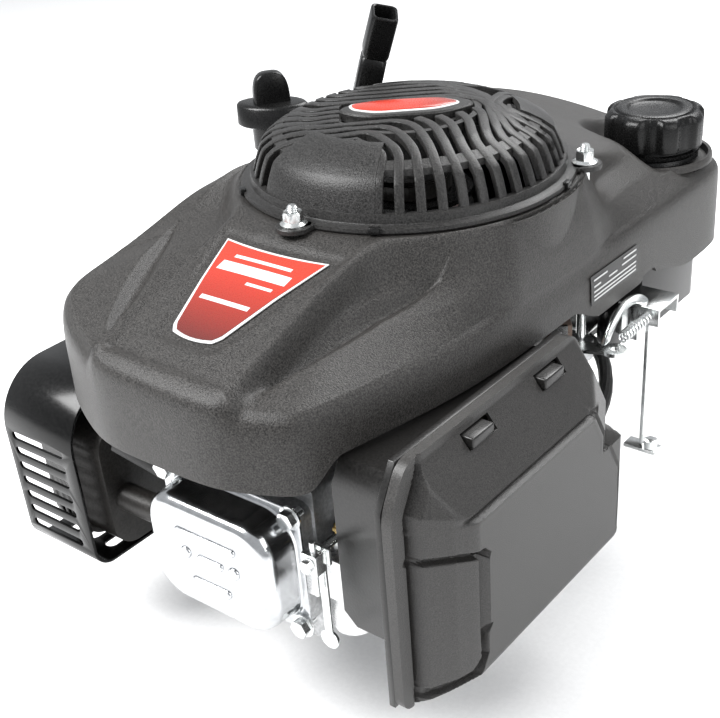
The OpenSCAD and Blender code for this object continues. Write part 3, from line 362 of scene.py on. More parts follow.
def finish(name, dark, light, rough, metal=0.0, grain=900.0, relief=0.2, mottle=0.12,
           rough_vary=0.08, stretch=(1, 1, 1), dents=0.0, coat=0.0, scuff=0.25, shine=0.35):
    """A moulded, painted or plated surface: fine grain in colour, gloss and relief, a slow
    mottle over it, and lighter rubbed edges."""
    mat = bpy.data.materials.new(name)
    mat.use_nodes = True
    tree = mat.node_tree
    shader = tree.nodes["Principled BSDF"]
    shader.inputs["Metallic"].default_value = metal
    shader.inputs["Coat Weight"].default_value = coat
    shader.inputs["Coat Roughness"].default_value = 0.12
    shader.inputs["Specular IOR Level"].default_value = shine
    place = tree.nodes.new("ShaderNodeTexCoord")
    mapping = node_of(tree, "ShaderNodeMapping", Scale=stretch)
    tree.links.new(place.outputs["Object"], mapping.inputs["Vector"])

    fine = node_of(tree, "ShaderNodeTexNoise", Scale=grain, Detail=3.0, Roughness=0.6)
    slow = node_of(tree, "ShaderNodeTexNoise", Scale=14.0, Detail=4.0, Roughness=0.55)
    for noise in (fine, slow):
        tree.links.new(mapping.outputs[0], noise.inputs["Vector"])

    ramp = tree.nodes.new("ShaderNodeValToRGB")
    ramp.color_ramp.elements[0].position = 0.36
    ramp.color_ramp.elements[0].color = (*dark, 1)
    ramp.color_ramp.elements[1].position = 0.66
    ramp.color_ramp.elements[1].color = (*light, 1)
    tree.links.new(fine.outputs["Fac"], ramp.inputs["Fac"])

    spread = node_of(tree, "ShaderNodeMapRange")
    spread.inputs["To Min"].default_value = 1 - mottle
    spread.inputs["To Max"].default_value = 1 + mottle
    tree.links.new(slow.outputs["Fac"], spread.inputs["Value"])
    tint = node_of(tree, "ShaderNodeMix", data_type="RGBA", blend_type="MULTIPLY")
    tint.inputs["Factor"].default_value = 1.0
    tree.links.new(ramp.outputs["Color"], tint.inputs["A"])
    tree.links.new(spread.outputs["Result"], tint.inputs["B"])

    worn = tree.nodes.new("ShaderNodeNewGeometry")
    edge = node_of(tree, "ShaderNodeMapRange")
    edge.inputs["From Min"].default_value = 0.53
    edge.inputs["From Max"].default_value = 0.62
    edge.inputs["To Max"].default_value = scuff
    tree.links.new(worn.outputs["Pointiness"], edge.inputs["Value"])
    rub = node_of(tree, "ShaderNodeMix", data_type="RGBA", blend_type="ADD")
    rub.inputs["B"].default_value = (*[min(1.0, c * 1.2 + 0.02) for c in light], 1)
    tree.links.new(edge.outputs["Result"], rub.inputs["Factor"])
    tree.links.new(tint.outputs["Result"], rub.inputs["A"])
    tree.links.new(rub.outputs["Result"], shader.inputs["Base Color"])

    gloss = node_of(tree, "ShaderNodeMapRange")
    gloss.inputs["To Min"].default_value = max(0.03, rough - rough_vary)
    gloss.inputs["To Max"].default_value = min(1.0, rough + rough_vary)
    tree.links.new(fine.outputs["Fac"], gloss.inputs["Value"])
    tree.links.new(gloss.outputs["Result"], shader.inputs["Roughness"])

    relief_node = node_of(tree, "ShaderNodeBump", Strength=relief, Distance=0.0006)
    tree.links.new(fine.outputs["Fac"], relief_node.inputs["Height"])
    last = relief_node
    if dents:
        last = node_of(tree, "ShaderNodeBump", Strength=dents, Distance=0.004)
        tree.links.new(slow.outputs["Fac"], last.inputs["Height"])
        tree.links.new(relief_node.outputs["Normal"], last.inputs["Normal"])
    tree.links.new(last.outputs["Normal"], shader.inputs["Normal"])
    return mat


def grey(value, warm=1.0):
    return (value * warm, value, value / warm)


COVER = finish("cover_plastic", grey(0.006, 1.07), grey(0.048, 1.06), 0.4, grain=1150,
               relief=0.6, mottle=0.08, rough_vary=0.16, scuff=0.05, shine=0.3)
GRILLE = finish("grille_plastic", grey(0.006, 1.03), grey(0.034, 1.03), 0.36, grain=1100,
                relief=0.4, mottle=0.08, rough_vary=0.12, scuff=0.1, shine=0.28)
BOX = finish("air_cleaner_plastic", grey(0.008, 1.06), grey(0.034, 1.06), 0.38, grain=1500,
             relief=0.35, mottle=0.12, rough_vary=0.12, scuff=0.08, shine=0.45)
HOUSING = finish("housing_plastic", grey(0.006, 1.05), grey(0.014, 1.05), 0.3, grain=700,
                 relief=0.1, mottle=0.2, rough_vary=0.06, scuff=0.08, shine=0.4)
GLOSSY = finish("cap_plastic", grey(0.002), grey(0.006), 0.26, grain=1000, relief=0.35,
                rough_vary=0.08, scuff=0.03, shine=0.25)
SATIN = finish("satin_black_plastic", grey(0.003), grey(0.008), 0.28, grain=900, relief=0.12,
               scuff=0.05, shine=0.25)
PAINT = finish("gloss_black_paint", grey(0.002), grey(0.005), 0.22, grain=500, relief=0.04,
               coat=0.08, dents=0.03, scuff=0.03, shine=0.2)
SOOT = finish("muffler_steel", (0.011, 0.01, 0.009), (0.026, 0.024, 0.022), 0.36, metal=0.2,
              grain=600, relief=0.1, mottle=0.3, scuff=0.15)
CHROME = finish("bright_plated_steel", grey(0.5, 0.98), grey(0.6, 0.98), 0.17, metal=1.0,
                grain=160, relief=0.02, mottle=0.05, rough_vary=0.04, dents=0.04, scuff=0.0)
ZINC = finish("zinc_plate", (0.66, 0.68, 0.68), (0.8, 0.81, 0.8), 0.24, metal=1.0, grain=260,
              relief=0.04, mottle=0.12, rough_vary=0.05, scuff=0.0)
STEEL = finish("machined_steel", grey(0.42), grey(0.58), 0.3, metal=1.0, grain=500,
               relief=0.08, stretch=(1, 1, 14), scuff=0.0)
IRON = finish("cast_iron", grey(0.09), grey(0.16), 0.55, metal=0.8, grain=500, relief=0.35)
CAST = finish("cast_aluminium", grey(0.36, 0.99), grey(0.52, 0.99), 0.45, metal=0.9, grain=420,
              relief=0.3, mottle=0.15, scuff=0.1)
MACHINED = finish("machined_aluminium", grey(0.6), grey(0.74), 0.28, metal=1.0, grain=400,
                  relief=0.06, stretch=(1, 1, 10), scuff=0.0)
BRASS = finish("brass", (0.6, 0.43, 0.16), (0.78, 0.58, 0.26), 0.28, metal=1.0, grain=500,
               relief=0.06, scuff=0.0)
RUBBER = finish("black_rubber", grey(0.005), grey(0.014), 0.5, grain=700, relief=0.2, scuff=0.05)
CERAMIC = finish("ceramic", grey(0.75, 1.03), grey(0.86, 1.03), 0.18, grain=300, relief=0.02)
PAPER = finish("filter_paper", (0.6, 0.5, 0.3), (0.78, 0.68, 0.46), 0.85, grain=1600,
               relief=0.5, mottle=0.1)
LINING = finish("brake_lining", (0.06, 0.045, 0.035), (0.14, 0.1, 0.08), 0.8, grain=900,
                relief=0.5)


def rope_finish():
    """Braided rope: two crossing waves of strands in colour and relief."""
    mat = finish("braided_rope", (0.62, 0.42, 0.4), (0.86, 0.74, 0.72), 0.75, grain=2400,
                 relief=0.3, scuff=0.0)
    tree = mat.node_tree
    shader = tree.nodes["Principled BSDF"]
    place = tree.nodes["Texture Coordinate"]
    heights = []
    for turn in (0.8, -0.8):
        mapping = node_of(tree, "ShaderNodeMapping")
        mapping.inputs["Rotation"].default_value = (turn, 0, turn)
        wave = node_of(tree, "ShaderNodeTexWave", Scale=260.0)
        tree.links.new(place.outputs["Object"], mapping.inputs["Vector"])
        tree.links.new(mapping.outputs[0], wave.inputs["Vector"])
        heights.append(wave)
    both = node_of(tree, "ShaderNodeMath", operation="MAXIMUM")
    for i, wave in enumerate(heights):
        tree.links.new(wave.outputs["Fac"], both.inputs[i])
    relief = node_of(tree, "ShaderNodeBump", Strength=0.6, Distance=0.0005)
    tree.links.new(both.outputs[0], relief.inputs["Height"])
    tree.links.new(relief.outputs["Normal"], shader.inputs["Normal"])
    return mat


ROPE = rope_finish()


def fade_finish(name, top, bottom, low, high, axis):
    """Printed label colour that fades from bottom to top between two places on an axis."""
    mat = finish(name, top, top, 0.28, grain=1500, relief=0.05, coat=0.3, scuff=0.0)
    tree = mat.node_tree
    place = tree.nodes["Texture Coordinate"]
    split = tree.nodes.new("ShaderNodeSeparateXYZ")
    tree.links.new(place.outputs["Object"], split.inputs[0])
    spread = node_of(tree, "ShaderNodeMapRange")
    spread.inputs["From Min"].default_value = low * MM
    spread.inputs["From Max"].default_value = high * MM
    tree.links.new(split.outputs[axis], spread.inputs["Value"])
    ramp = tree.nodes.new("ShaderNodeValToRGB")
    ramp.color_ramp.elements[0].color = (*bottom, 1)
    ramp.color_ramp.elements[1].position = 0.75
    ramp.color_ramp.elements[1].color = (*top, 1)
    fine = node_of(tree, "ShaderNodeTexNoise", Scale=1800.0)
    tree.links.new(place.outputs["Object"], fine.inputs["Vector"])
    fleck = node_of(tree, "ShaderNodeMix", data_type="RGBA", blend_type="SOFT_LIGHT")
    fleck.inputs["Factor"].default_value = 0.35
    tree.links.new(spread.outputs["Result"], ramp.inputs["Fac"])
    tree.links.new(ramp.outputs["Color"], fleck.inputs["A"])
    tree.links.new(fine.outputs["Color"], fleck.inputs["B"])
    tree.links.new(fleck.outputs["Result"],
                   tree.nodes["Principled BSDF"].inputs["Base Color"])
    return mat


RED = (0.42, 0.032, 0.016)
ASH = (0.035, 0.012, 0.012)
LABEL = fade_finish("label_print", RED, ASH, -196, -112, "Y")
BADGE = fade_finish("badge_print", ASH, RED, 2, 60, "X")
WHITE = finish("label_white", grey(0.5), grey(0.58), 0.35, grain=1500, relief=0.04, scuff=0.0)
PLATE = finish("plate_black", grey(0.002), grey(0.005), 0.3, grain=1500, relief=0.05, scuff=0.0)


# ---------------------------------------------------------------- top cover

NECK = (67, 185)
NECK_HOLE = 35.5
GRIP = (-88, 74)
COVER_TOP = 223.6
EDGE_SIDES = [(-90, 222), (-64, 218.5), (-12.4, 123), (0, 108), (62, 250), (90, 228),
              (125, 240), (180, 118), (-141, 203), (-116, 219)]


def edge_r(a):
    """Distance from the crank axis to the cover's edge in direction a; the nose is creased
    more sharply than the rest."""
    power = 22 + 38 * bump_at(a, -90, 34)
    total = 0
    for normal, reach in EDGE_SIDES:
        total += (max(0, math.cos(math.radians(a - normal))) / reach) ** power
    return total ** (-1 / power)


def shoulder_z(a):
    b = (a + 180) % 360 - 180
    beside_nose = max(smooth(-79, -75.5, b) * (1 - smooth(-62, -25, b)),
                      smooth(-150, -122, b) * (1 - smooth(-104.5, -101, b)))
    return (186 - 10 * bump_at(a, 5, 50) + 27 * bump_at(a, 202, 40) - 7.5 * beside_nose
            + 12 * bump_at(a, 135, 40) + 12 * bump_at(a, 100, 26) - 5 * bump_at(a, 62, 16))


def hem_z(a):
    b = (a + 180) % 360 - 180
    return (138 + 13.5 * (smooth(-68, -64, b) - smooth(4, 22, b))
            + 4 * (smooth(41.2, 41.8, b) - smooth(46, 46.6, b))
            - 13.5 * (smooth(46, 58, b) - smooth(112, 140, b)))


def hood_z(y):
    """Height of the raised hood that runs from the grille to the nose."""
    return table([(-222, 184), (-200, 192), (-187, 196.5), (-150, 209), (-115, 219),
                  (-95, 223.4)], y)


FALL = [(0, 1), (0.12, 0.93), (0.28, 0.78), (0.43, 0.6), (0.6, 0.4), (0.76, 0.24), (0.9, 0.1),
        (1, 0.05)]
SPAN_ENDS = (0.36, 0.42, 0.47, 0.52, 0.76)
COVER_STEPS = 70


def cover_section(a):
    """Control points (radius, height) in direction a, from the opening out to the hem."""
    edge, top, hem = edge_r(a), shoulder_z(a), hem_z(a)
    wide = edge - 102
    run = wide - min(12, wide * 0.3)
    plain = [(102 + run * f, top + (COVER_TOP - top) * table(FALL, f * run / wide))
             for f in SPAN_ENDS]
    plain.append((102 + run, top + 3.5))
    right = smooth(-80, -76, a) * (1 - smooth(40, 62, a))
    left = smooth(-185, -165, a) * (1 - smooth(-104, -100, a))
    flank = max(right, left)
    rim = 46.5 / max(0.05, abs(math.cos(math.radians(a))))
    ridge = min((min(rim, 400) ** 8 + 103.5 ** 8) ** 0.125, edge - 12)
    room = edge - ridge
    fall = min(8, room * 0.4)
    ease = min(8, room * 0.3)
    drop = 21 if right >= left else 14
    z_ridge = hood_z(ridge * math.sin(math.radians(a)))
    z_valley = max(top + 3, z_ridge - drop)
    middle = (ridge + fall + edge - ease) / 2
    carved = [(max(101.5, ridge - 6), z_ridge + 1.6), (ridge, z_ridge - 0.5),
              (ridge + fall * 0.45, z_ridge - (z_ridge - z_valley) * 0.5),
              (ridge + fall, z_valley), (middle, (z_valley + top) / 2 + 3.5),
              (edge - ease, top + 2.5)]
    body = [(lerp(p[0], c[0], flank), lerp(p[1], c[1], flank)) for p, c in zip(plain, carved)]
    return ([(90, COVER_TOP), (101, COVER_TOP)] + body
            + [(edge - 3.2, top - 2.5), (edge - 1.1, top - 12),
               (edge - 0.5, (top + hem) / 2 - 6), (edge, hem)])


def spline(points, counts):
    """Catmull-Rom curve through the points, counts[i] steps on each span."""
    out = []
    last = len(points) - 1
    for i in range(last):
        p = [points[max(0, min(last, i + k))] for k in (-1, 0, 1, 2)]
        for s in range(counts[i]):
            t = s / counts[i]
            out.append(tuple(0.5 * (2 * b + (c - a) * t + (2 * a - 5 * b + 4 * c - d) * t * t
                                    + (3 * b - a - 3 * c + d) * t ** 3)
                             for a, b, c, d in zip(*p)))
    return out + [points[-1]]


LABEL_LOW, LABEL_HIGH = -186, -118
LABEL_HALF = (16, 36)
LABEL_BOW = 2.6
RECESS = 1.5


def label_depth(x, y):
    """Distance inside the label's outline, with softened corners."""
    half = lerp(*LABEL_HALF, (y - LABEL_LOW) / (LABEL_HIGH - LABEL_LOW))
    side = (half - abs(x)) * 0.96
    ends = min(y - LABEL_LOW, LABEL_HIGH - LABEL_BOW * (1 - (x / LABEL_HALF[1]) ** 2) - y)
    return -math.log(math.exp(-side / 3) + math.exp(-ends / 3)) * 3


RIGHT_SCOOP = [(51, -190), (56, -160), (63, -120), (80, -66)]
LEFT_SCOOP = [(-56, -196), (-67, -168), (-82, -134), (-98, -98)]


def cover_relief(x, y):
    """Height taken off the cover by the label's recess and the two lens-shaped scoops."""
    drop = RECESS * smooth(-8, -4.5, label_depth(x, y)) if -205 < y < -100 else 0
    for path, depth, width in ((RIGHT_SCOOP, 7, 10), (LEFT_SCOOP, 6, 9)):
        away, where = near_line(path, x, y)
        if away < width and 0 < where < 1:
            swell = math.sin(math.pi * where)
            drop += depth * swell ** 0.6 * smooth(0, 1, 1 - away / (width * swell ** 0.8 + 0.01))
    return drop


def crest_z(x, y):
    """Height of the hood's crowned top between its two creases."""
    return hood_z(y) - 0.0003 * x * x


def cover_height(x, y, z):
    on_hood = ((1 - smooth(38, 45, abs(x))) * smooth(-213, -205, y)
               * (1 - smooth(-114, -108, y)))
    z = lerp(z, crest_z(x, y), on_hood) - cover_relief(x, y)
    from_neck = math.hypot(x - NECK[0], y - NECK[1])
    seat = 189.5
    if z > seat:
        z = lerp(seat, z, smooth(38, 50, from_neck))
    return z


def cover_grid(angles):
    """Rings of (radius, height) by direction: even steps over the top, softened so that the
    ridges keep a moulded edge, then the rounded shoulder and the wall."""
    sections = [cover_section(a) for a in angles]
    radii = [[lerp(101, sec[7][0], k / COVER_STEPS) for k in range(COVER_STEPS)]
             for sec in sections]
    heights = [[table(sec, r) for r in row] for sec, row in zip(sections, radii)]
    count = len(angles)
    for _ in range(3):
        heights = [[(heights[i - 1][k] + 2 * heights[i][k] + heights[(i + 1) % count][k]) / 4
                    for k in range(COVER_STEPS)] for i in range(count)]
        heights = [[row[0]] + [(row[k - 1] + 2 * row[k] + row[k + 1]) / 4
                               for k in range(1, COVER_STEPS - 1)] + [row[-1]]
                   for row in heights]
    return [[(90, COVER_TOP), (96, COVER_TOP)] + list(zip(row, up))
            + spline(sec[7:], (6, 3, 3, 4))
            for sec, row, up in zip(sections, radii, heights)]


def build_cover():
    angles = []
    a = -180.0
    while a < 180:
        angles.append(a)
        a += 0.4 if -132 < a < -42 else 0.6 if 40 < a < 86 else 1.5
    rings = []
    for a, row in zip(angles, cover_grid(angles)):
        ring = []
        for r, z in row:
            x, y = r * math.cos(math.radians(a)), r * math.sin(math.radians(a))
            ring.append((x, y, cover_height(x, y, z)))
        rings.append(ring)
    count = len(rings[0])
    verts = [p for ring in rings for p in ring]
    faces = []
    for i in range(len(rings)):
        j = (i + 1) % len(rings)
        faces += [(i * count + k, i * count + k + 1, j * count + k + 1, j * count + k)
                  for k in range(count - 1)]
    obj = piece("cover_shell", verts, faces, COVER, sharp=50)
    if sum(p.normal.z for p in obj.data.polygons) < 0:
        obj.data.flip_normals()
    open_disc(obj, NECK, NECK_HOLE)
    thicken(obj, 2.6)
    shade(obj, 38)
    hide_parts("shroud")
    lip = [(NECK_HOLE, 186.6), (36.6, 190.4), (38.6, 190.8), (39.4, 189), (39.6, 186)]
    collar = lathe("neck_collar", lip, COVER, (*NECK, 0), 96)
    return obj


def recess_z(x, y):
    """Height of the floor of the label's recess."""
    return crest_z(x, y) - RECESS


def build_front_label():
    """Printed shield in the nose's recess: white border, fading print, plain pale marks."""
    for name, grow, lift, material in (("front_label_border", 0.0, 0.5, WHITE),
                                       ("front_label_print", -1.6, 0.8, LABEL)):
        rows, cols = 30, 24
        verts = []
        for i in range(rows + 1):
            v = i / rows
            for j in range(cols + 1):
                u = 2 * j / cols - 1
                round_low = 1 - 0.14 * (1 - smooth(0, 0.08, v)) ** 2
                half = (lerp(*LABEL_HALF, v) + grow) * round_low
                x = u * half
                top = LABEL_HIGH - LABEL_BOW * (1 - u * u) + grow
                y = lerp(LABEL_LOW - grow - 1.9 * (1 - u * u), top, v)
                verts.append((x, y, recess_z(x, y) + lift))
        obj = piece(name, verts, strip_faces(rows + 1, cols + 1, False), material)
        thicken(obj, 0.5, 1 if obj.data.polygons[0].normal.z > 0 else -1)
    bars = [(-20, 20, -129.5, 1.1), (-24, 24, -137.5, 3.4), (2, 20, -146, 1.0),
            (-17, 17, -161, 1.4)]
    for k, (x0, x1, y, half) in enumerate(bars):
        grid = [(lerp(x0, x1, i / 12), y + s * half) for s in (-1, 1) for i in range(13)]
        verts = [(x, yy, recess_z(x, yy) + 1.25) for x, yy in grid]
        obj = piece("front_label_mark_%d" % k, verts, strip_faces(2, 13, False), WHITE)
        thicken(obj, 0.3, 0)


def build_rating_plate():
    """Small black plate on the right wall with plain rules in place of print."""
    def wall_x(y, z):
        a = math.degrees(math.atan2(y, 106))
        pts = [(p[1], p[0]) for p in spline(cover_section(a), [8] * 11)[40:]][::-1]
        return table(pts, z) * math.cos(math.radians(a))

    def patch(name, y0, y1, z0, z1, lift, material):
        grid = [(lerp(y0, y1, i / 10), lerp(z0, z1, j / 3)) for j in range(4) for i in range(11)]
        verts = [(wall_x(y, z) + lift, y, z) for y, z in grid]
        obj = piece(name, verts, strip_faces(4, 11, False), material)
        thicken(obj, 0.35, 0)

    patch("rating_plate", 29, 86, 149, 167, 0.6, PLATE)
    for k, (y0, y1, z) in enumerate([(32, 48, 164), (68, 84, 164.5), (66, 84, 161),
                                     (32, 40, 160), (50, 60, 160), (32, 84, 156.6),
                                     (32, 84, 153.8), (32, 84, 151.4)]):
        patch("rating_rule_%d" % k, y0, y1, z - 0.45, z + 0.45, 0.95, WHITE)


# ---------------------------------------------------------------- starter grille

DOME = [(0, 262), (48, 261.2), (62, 259.6), (70, 256.8), (78, 252.8), (85, 248), (88.5, 240),
        (91.5, 231), (92.6, 227)]
VIEW_TURN = 39.4
RIB_WIDTH = 5.3
RIB_DEPTH = 4.2
RIM_IN = (92.4, 88.5, 85, 78)
RIM_OUT = RIM_IN[::-1]
NUT_ANGLES = (-90, 30, 150)
NUT_CIRCLE = 103


def dome_z(r):
    return table(DOME, r)


def dome_point(r, angle):
    """A point of the dome, its angle taken from the ribs' own direction."""
    a = math.radians(angle + VIEW_TURN)
    return Vector((r * math.cos(a), r * math.sin(a), dome_z(r)))


def dome_normal(p):
    r = math.hypot(p.x, p.y)
    slope = (dome_z(r + 0.8) - dome_z(r - 0.8)) / 1.6 if r > 1 else 0
    out = Vector((p.x, p.y, 0)).normalized() if r > 0.1 else Vector((0, 0, 0))
    return (Vector((0, 0, 1)) - out * max(-6, slope)).normalized()


def rib(name, path):
    """A moulded bar that follows the dome: soft top corners and a flat underside."""
    rings = []
    pts = along(path, max(12, int(sum((Vector(q) - Vector(p)).length
                                      for p, q in zip(path, path[1:])) / 2.4)))
    for i, p in enumerate(pts):
        t = (pts[min(i + 1, len(pts) - 1)] - pts[max(i - 1, 0)]).normalized()
        n = dome_normal(p)
        side = t.cross(n).normalized()
        n = side.cross(t)
        shape = [(-0.42, -RIB_DEPTH), (-0.5, -0.6), (-0.45, -0.15), (-0.36, 0), (0.36, 0),
                 (0.45, -0.15), (0.5, -0.6), (0.42, -RIB_DEPTH)]
        rings.append([tuple(p + side * (sx * RIB_WIDTH) + n * sy) for sx, sy in shape])
    return loft(name, rings, GRILLE, ride=False, sharp=30)


def on_plan(u, v):
    """A point of the dome over plan coordinates that are turned with the ribs."""
    return dome_point(math.hypot(u, v), math.degrees(math.atan2(v, u)))


def rib_route(left, v, bend, right):
    """From the rim at direction left, straight across at offset v, and round to the rim at
    direction right."""
    route = [dome_point(r, left) for r in RIM_IN]
    u_left = -math.sqrt(max(0, 64 ** 2 - v * v)) if abs(v) < 60 else -20
    route += [on_plan(u_left * 0.86, v), on_plan(u_left * 0.4 + bend * 0.3, v), on_plan(bend, v)]
    return soft_route(route + [dome_point(r, right) for r in (66, *RIM_OUT)])


def soft_route(points):
    """A route with its corners cut in plan and put back on the dome."""
    soft = cut_corners([tuple(p) for p in points], 2)
    return [(x, y, dome_z(math.hypot(x, y))) for x, y, _ in soft]


def patch_on_dome(name, a0, a1, r0):
    """A plain skin of the dome between two directions, from a radius out to the rim."""
    cols, rows, lift = 28, 14, 0.3
    verts = []
    for i in range(rows + 1):
        for j in range(cols + 1):
            p = dome_point(lerp(r0, DOME[-1][0], i / rows), lerp(a0, a1, j / cols))
            verts.append(tuple(p + dome_normal(p) * lift))
    obj = piece(name, verts, strip_faces(rows + 1, cols + 1, False), GRILLE, ride=False)
    thicken(obj, 3.0, -1 if obj.data.polygons[0].normal.z > 0 else 1)
    return obj


def ring_band(name, r0, r1, a0, a1):
    """A flat ring set into the dome that ties the ribs together."""
    steps = 120
    shape = [(r0, -4.6), (r0, -0.8), (r1, -0.8), (r1, -4.6)]
    rings = []
    for i in range(steps + 1):
        a = math.radians(lerp(a0, a1, i / steps) + VIEW_TURN)
        rings.append([(r * math.cos(a), r * math.sin(a), dome_z(r) + d) for r, d in shape])
    return loft(name, rings, GRILLE, ride=False)


def grille_ribs():
    """Twelve ribs that sweep from the left rim round to the front, three behind the badge and
    two that turn back at the right."""
    parts = []
    for k in range(12):
        left, right, v = -152 - 8.6 * k, -103 + 7.4 * k, -47 + 8.3 * k
        if k < 4:
            routes = [rib_route(left, v, -31 + 11 * k, right)]
        elif k < 8:
            start = [(6, -20), (18, -19), (30, -15), (40, -8)][k - 4]
            bend = [(14, -32), (24, -31), (34, -27), (43, -19)][k - 4]
            spoke = [on_plan(*start), on_plan(*bend)]
            spoke += [dome_point(r, right) for r in (66, *RIM_OUT)]
            stub = [dome_point(r, left) for r in RIM_IN]
            stub += [on_plan(-58, v), on_plan(-38, v)]
            routes = [soft_route(spoke), soft_route(stub)]
        else:
            routes = [rib_route(left, v, 48 - 3 * (k - 8), right)]
        parts += [rib("rib", path) for path in routes]
    for k in range(3):
        end = 34 + 9 * k
        v = 54 + 8.2 * k
        parts.append(rib("rib_back_%d" % k, rib_route(-255 - 8.6 * k, v, 10 - 6 * k, end)))
    for k in range(2):
        route = [dome_point(r, -21.6 + 7.4 * k) for r in (*RIM_IN, 66)]
        route += [on_plan(47 + 5 * k, -8 + 5 * k), on_plan(52 + 6 * k, 10 + 3 * k)]
        route += [dome_point(r, 26 - 8 * k) for r in (70, *RIM_OUT)]
        parts.append(rib("rib_turn_%d" % k, soft_route(route)))
    return parts


def build_grille():
    parts = grille_ribs()
    parts += [patch_on_dome(*row) for row in (("front_blank", -152, -104, 58),
                                              ("right_blank", -9, 18, 66),
                                              ("rear_blank", 56, 98, 66))]
    parts += [ring_band("tie_ring", 72, 78, 0, 360), ring_band("inner_ring", 40, 44, 130, 420)]
    skirt = [(89.0, 224.2), (98.6, 224.2), (99, 225), (98.6, 226.8), (94.4, 227.2),
             (93.4, 228), (92.4, 232.5), (88.2, 232.5), (88.8, 226.8)]
    parts.append(lathe("grille_skirt", skirt, GRILLE, steps=128, closed=True, ride=False))
    plan = round_polygon([(-42, 2), (-20, 16), (28, 14), (43, -2), (22, -17), (-26, -15)], 14)
    rings = [badge_ring(plan, 1 + grow / 40, 1 + grow / 18, z)
             for grow, z in ((0.0, 257.5), (0.0, 261.6), (-1.2, 262.6), (-12, 262.9))]
    parts.append(loft("badge_seat", rings, GRILLE, ride=False))
    for t in (math.radians(a) for a in NUT_ANGLES):
        for r in (NUT_CIRCLE, NUT_CIRCLE - 6):
            parts.append(lathe("ear", [(10, 224.2), (10, 226.4), (9.4, 227)], GRILLE,
                               (r * math.cos(t), r * math.sin(t), 0), 40, ride=False))
    parts.append(lathe("rope_guide", [(3.2, 224.2), (12, 224.2), (12, 229), (10, 231), (3.2, 231)],
                       GRILLE, (*GRIP, 0), 40, closed=True, ride=False))
    parts.append(block("guide_web", (-90, 60, 224.2), (-64, 84, 227), GRILLE, soft=0.6,
                       ride=False))
    post = [(0, 196.5), (6, 196.5), (6, 257), (0, 257)]
    parts.append(lathe("centre_post", post, GRILLE, steps=32, ride=False))
    well = [(29.5, 228), (32, 228), (32, 257.6), (29.5, 257.6)]
    parts.append(lathe("spring_well", well, GRILLE, steps=64, closed=True, ride=False))
    grille = join(parts)
    grille.name = "starter_grille"
    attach(grille, "block")
    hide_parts("starter_housing")
    for k, a in enumerate((-64, 10, -128, 70, 170)):
        t = math.radians(a)
        clip = block("rim_clip_%d" % k, (-3.2, -1.6, 224.6), (3.2, 1.8, 228.4), SATIN, soft=0.5)
        place = Vector((99 * math.cos(t), 99 * math.sin(t), 0))
        clip.matrix_world = (Matrix.Translation(place * MM)
                             @ Matrix.Rotation(t + math.pi / 2, 4, "Z"))


def badge_ring(outline, scale_u, scale_v, z):
    """A badge outline, scaled and turned to the ribs' direction, at a height."""
    c, s = math.cos(math.radians(VIEW_TURN)), math.sin(math.radians(VIEW_TURN))
    return [((u * scale_u) * c - (v * scale_v) * s, (u * scale_u) * s + (v * scale_v) * c, z)
            for u, v in outline]


def build_badge():
    """Shield badge on top of the grille, with a plain printed face."""
    corners = [(-33, 7), (-14, 12), (22, 9), (34, -3), (18, -12), (-18, -12), (-31, -3)]
    outline = round_polygon(corners, 7)

    def turned(scale_u, scale_v, z):
        return badge_ring(outline, scale_u, scale_v, z + 0.5 * (1 - scale_u))

    border = loft("dome_badge_border", [turned(1, 1, 262.5), turned(1, 1, 263.1),
                                        turned(0.985, 0.96, 263.4)], WHITE)
    face = loft("dome_badge_print", [turned(0.95, 0.86, 262.9), turned(0.95, 0.86, 263.6),
                                     turned(0.93, 0.84, 263.8), turned(0.5, 0.45, 264.1)],
                BADGE)


# ---------------------------------------------------------------- air cleaner cover

RIM_LEFT, RIM_REAR, RIM_TOP, RIM_FOOT = -191.5, 5.5, 157.5, 9
LEFT_CHAMFER, REAR_CHAMFER = 133.5, 112.5
RIM_OUTLINE = [(RIM_LEFT, RIM_FOOT), (RIM_LEFT, LEFT_CHAMFER), (-177.5, RIM_TOP),
               (-20.5, RIM_TOP), (RIM_REAR, REAR_CHAMFER), (RIM_REAR, RIM_FOOT)]
COVER_FOOT = 118.5
LEFT_STEPS = [(-1, 5.8), (7.5, 7.4), (8.3, 5.0), (10, 4.8), (11, 11), (12.5, 14.5), (24, 25),
              (37, 32.4), (60, 32.7)]
TOP_STEPS = [(-1, 5.8), (4, 6.8), (7, 9), (33, 29.4), (34.2, 27.6), (36.2, 27.6), (37.2, 32.6),
             (39, 33.2), (41, 32.7), (60, 32.7)]
REAR_STEPS = [(-1, 5.8), (2, 8), (10, 19), (31, 30.2), (32.2, 28.6), (34.2, 28.6), (35.2, 32.6),
              (37, 33.2), (39, 32.7), (60, 32.7)]
FOOT_STEPS = [(-1, 5.8), (1.5, 9), (12, 31), (15, 32.7), (60, 32.7)]
CHANNEL = [(-152, 99), (-152, 33), (-158, 24), (-181, 17)]
PANEL_GROOVE = [(-183, 104), (-166, 103), (-150, 99)]
PANEL_FOLD = [(-24, 96), (-9, 70), (-8, 16)]
GROOVES = [(PANEL_GROOVE, 5.0, 1.0, 2.6), (CHANNEL, 5.5, 2.2, 3.6), (PANEL_FOLD, 0.9, 0.5, 1.6)]
LATCHES = (-135, -66)


def soft_min(values):
    """The least of the values, rounded over about a millimetre where two of them meet."""
    return -0.8 * math.log(sum(math.exp(-v / 0.8) for v in values))


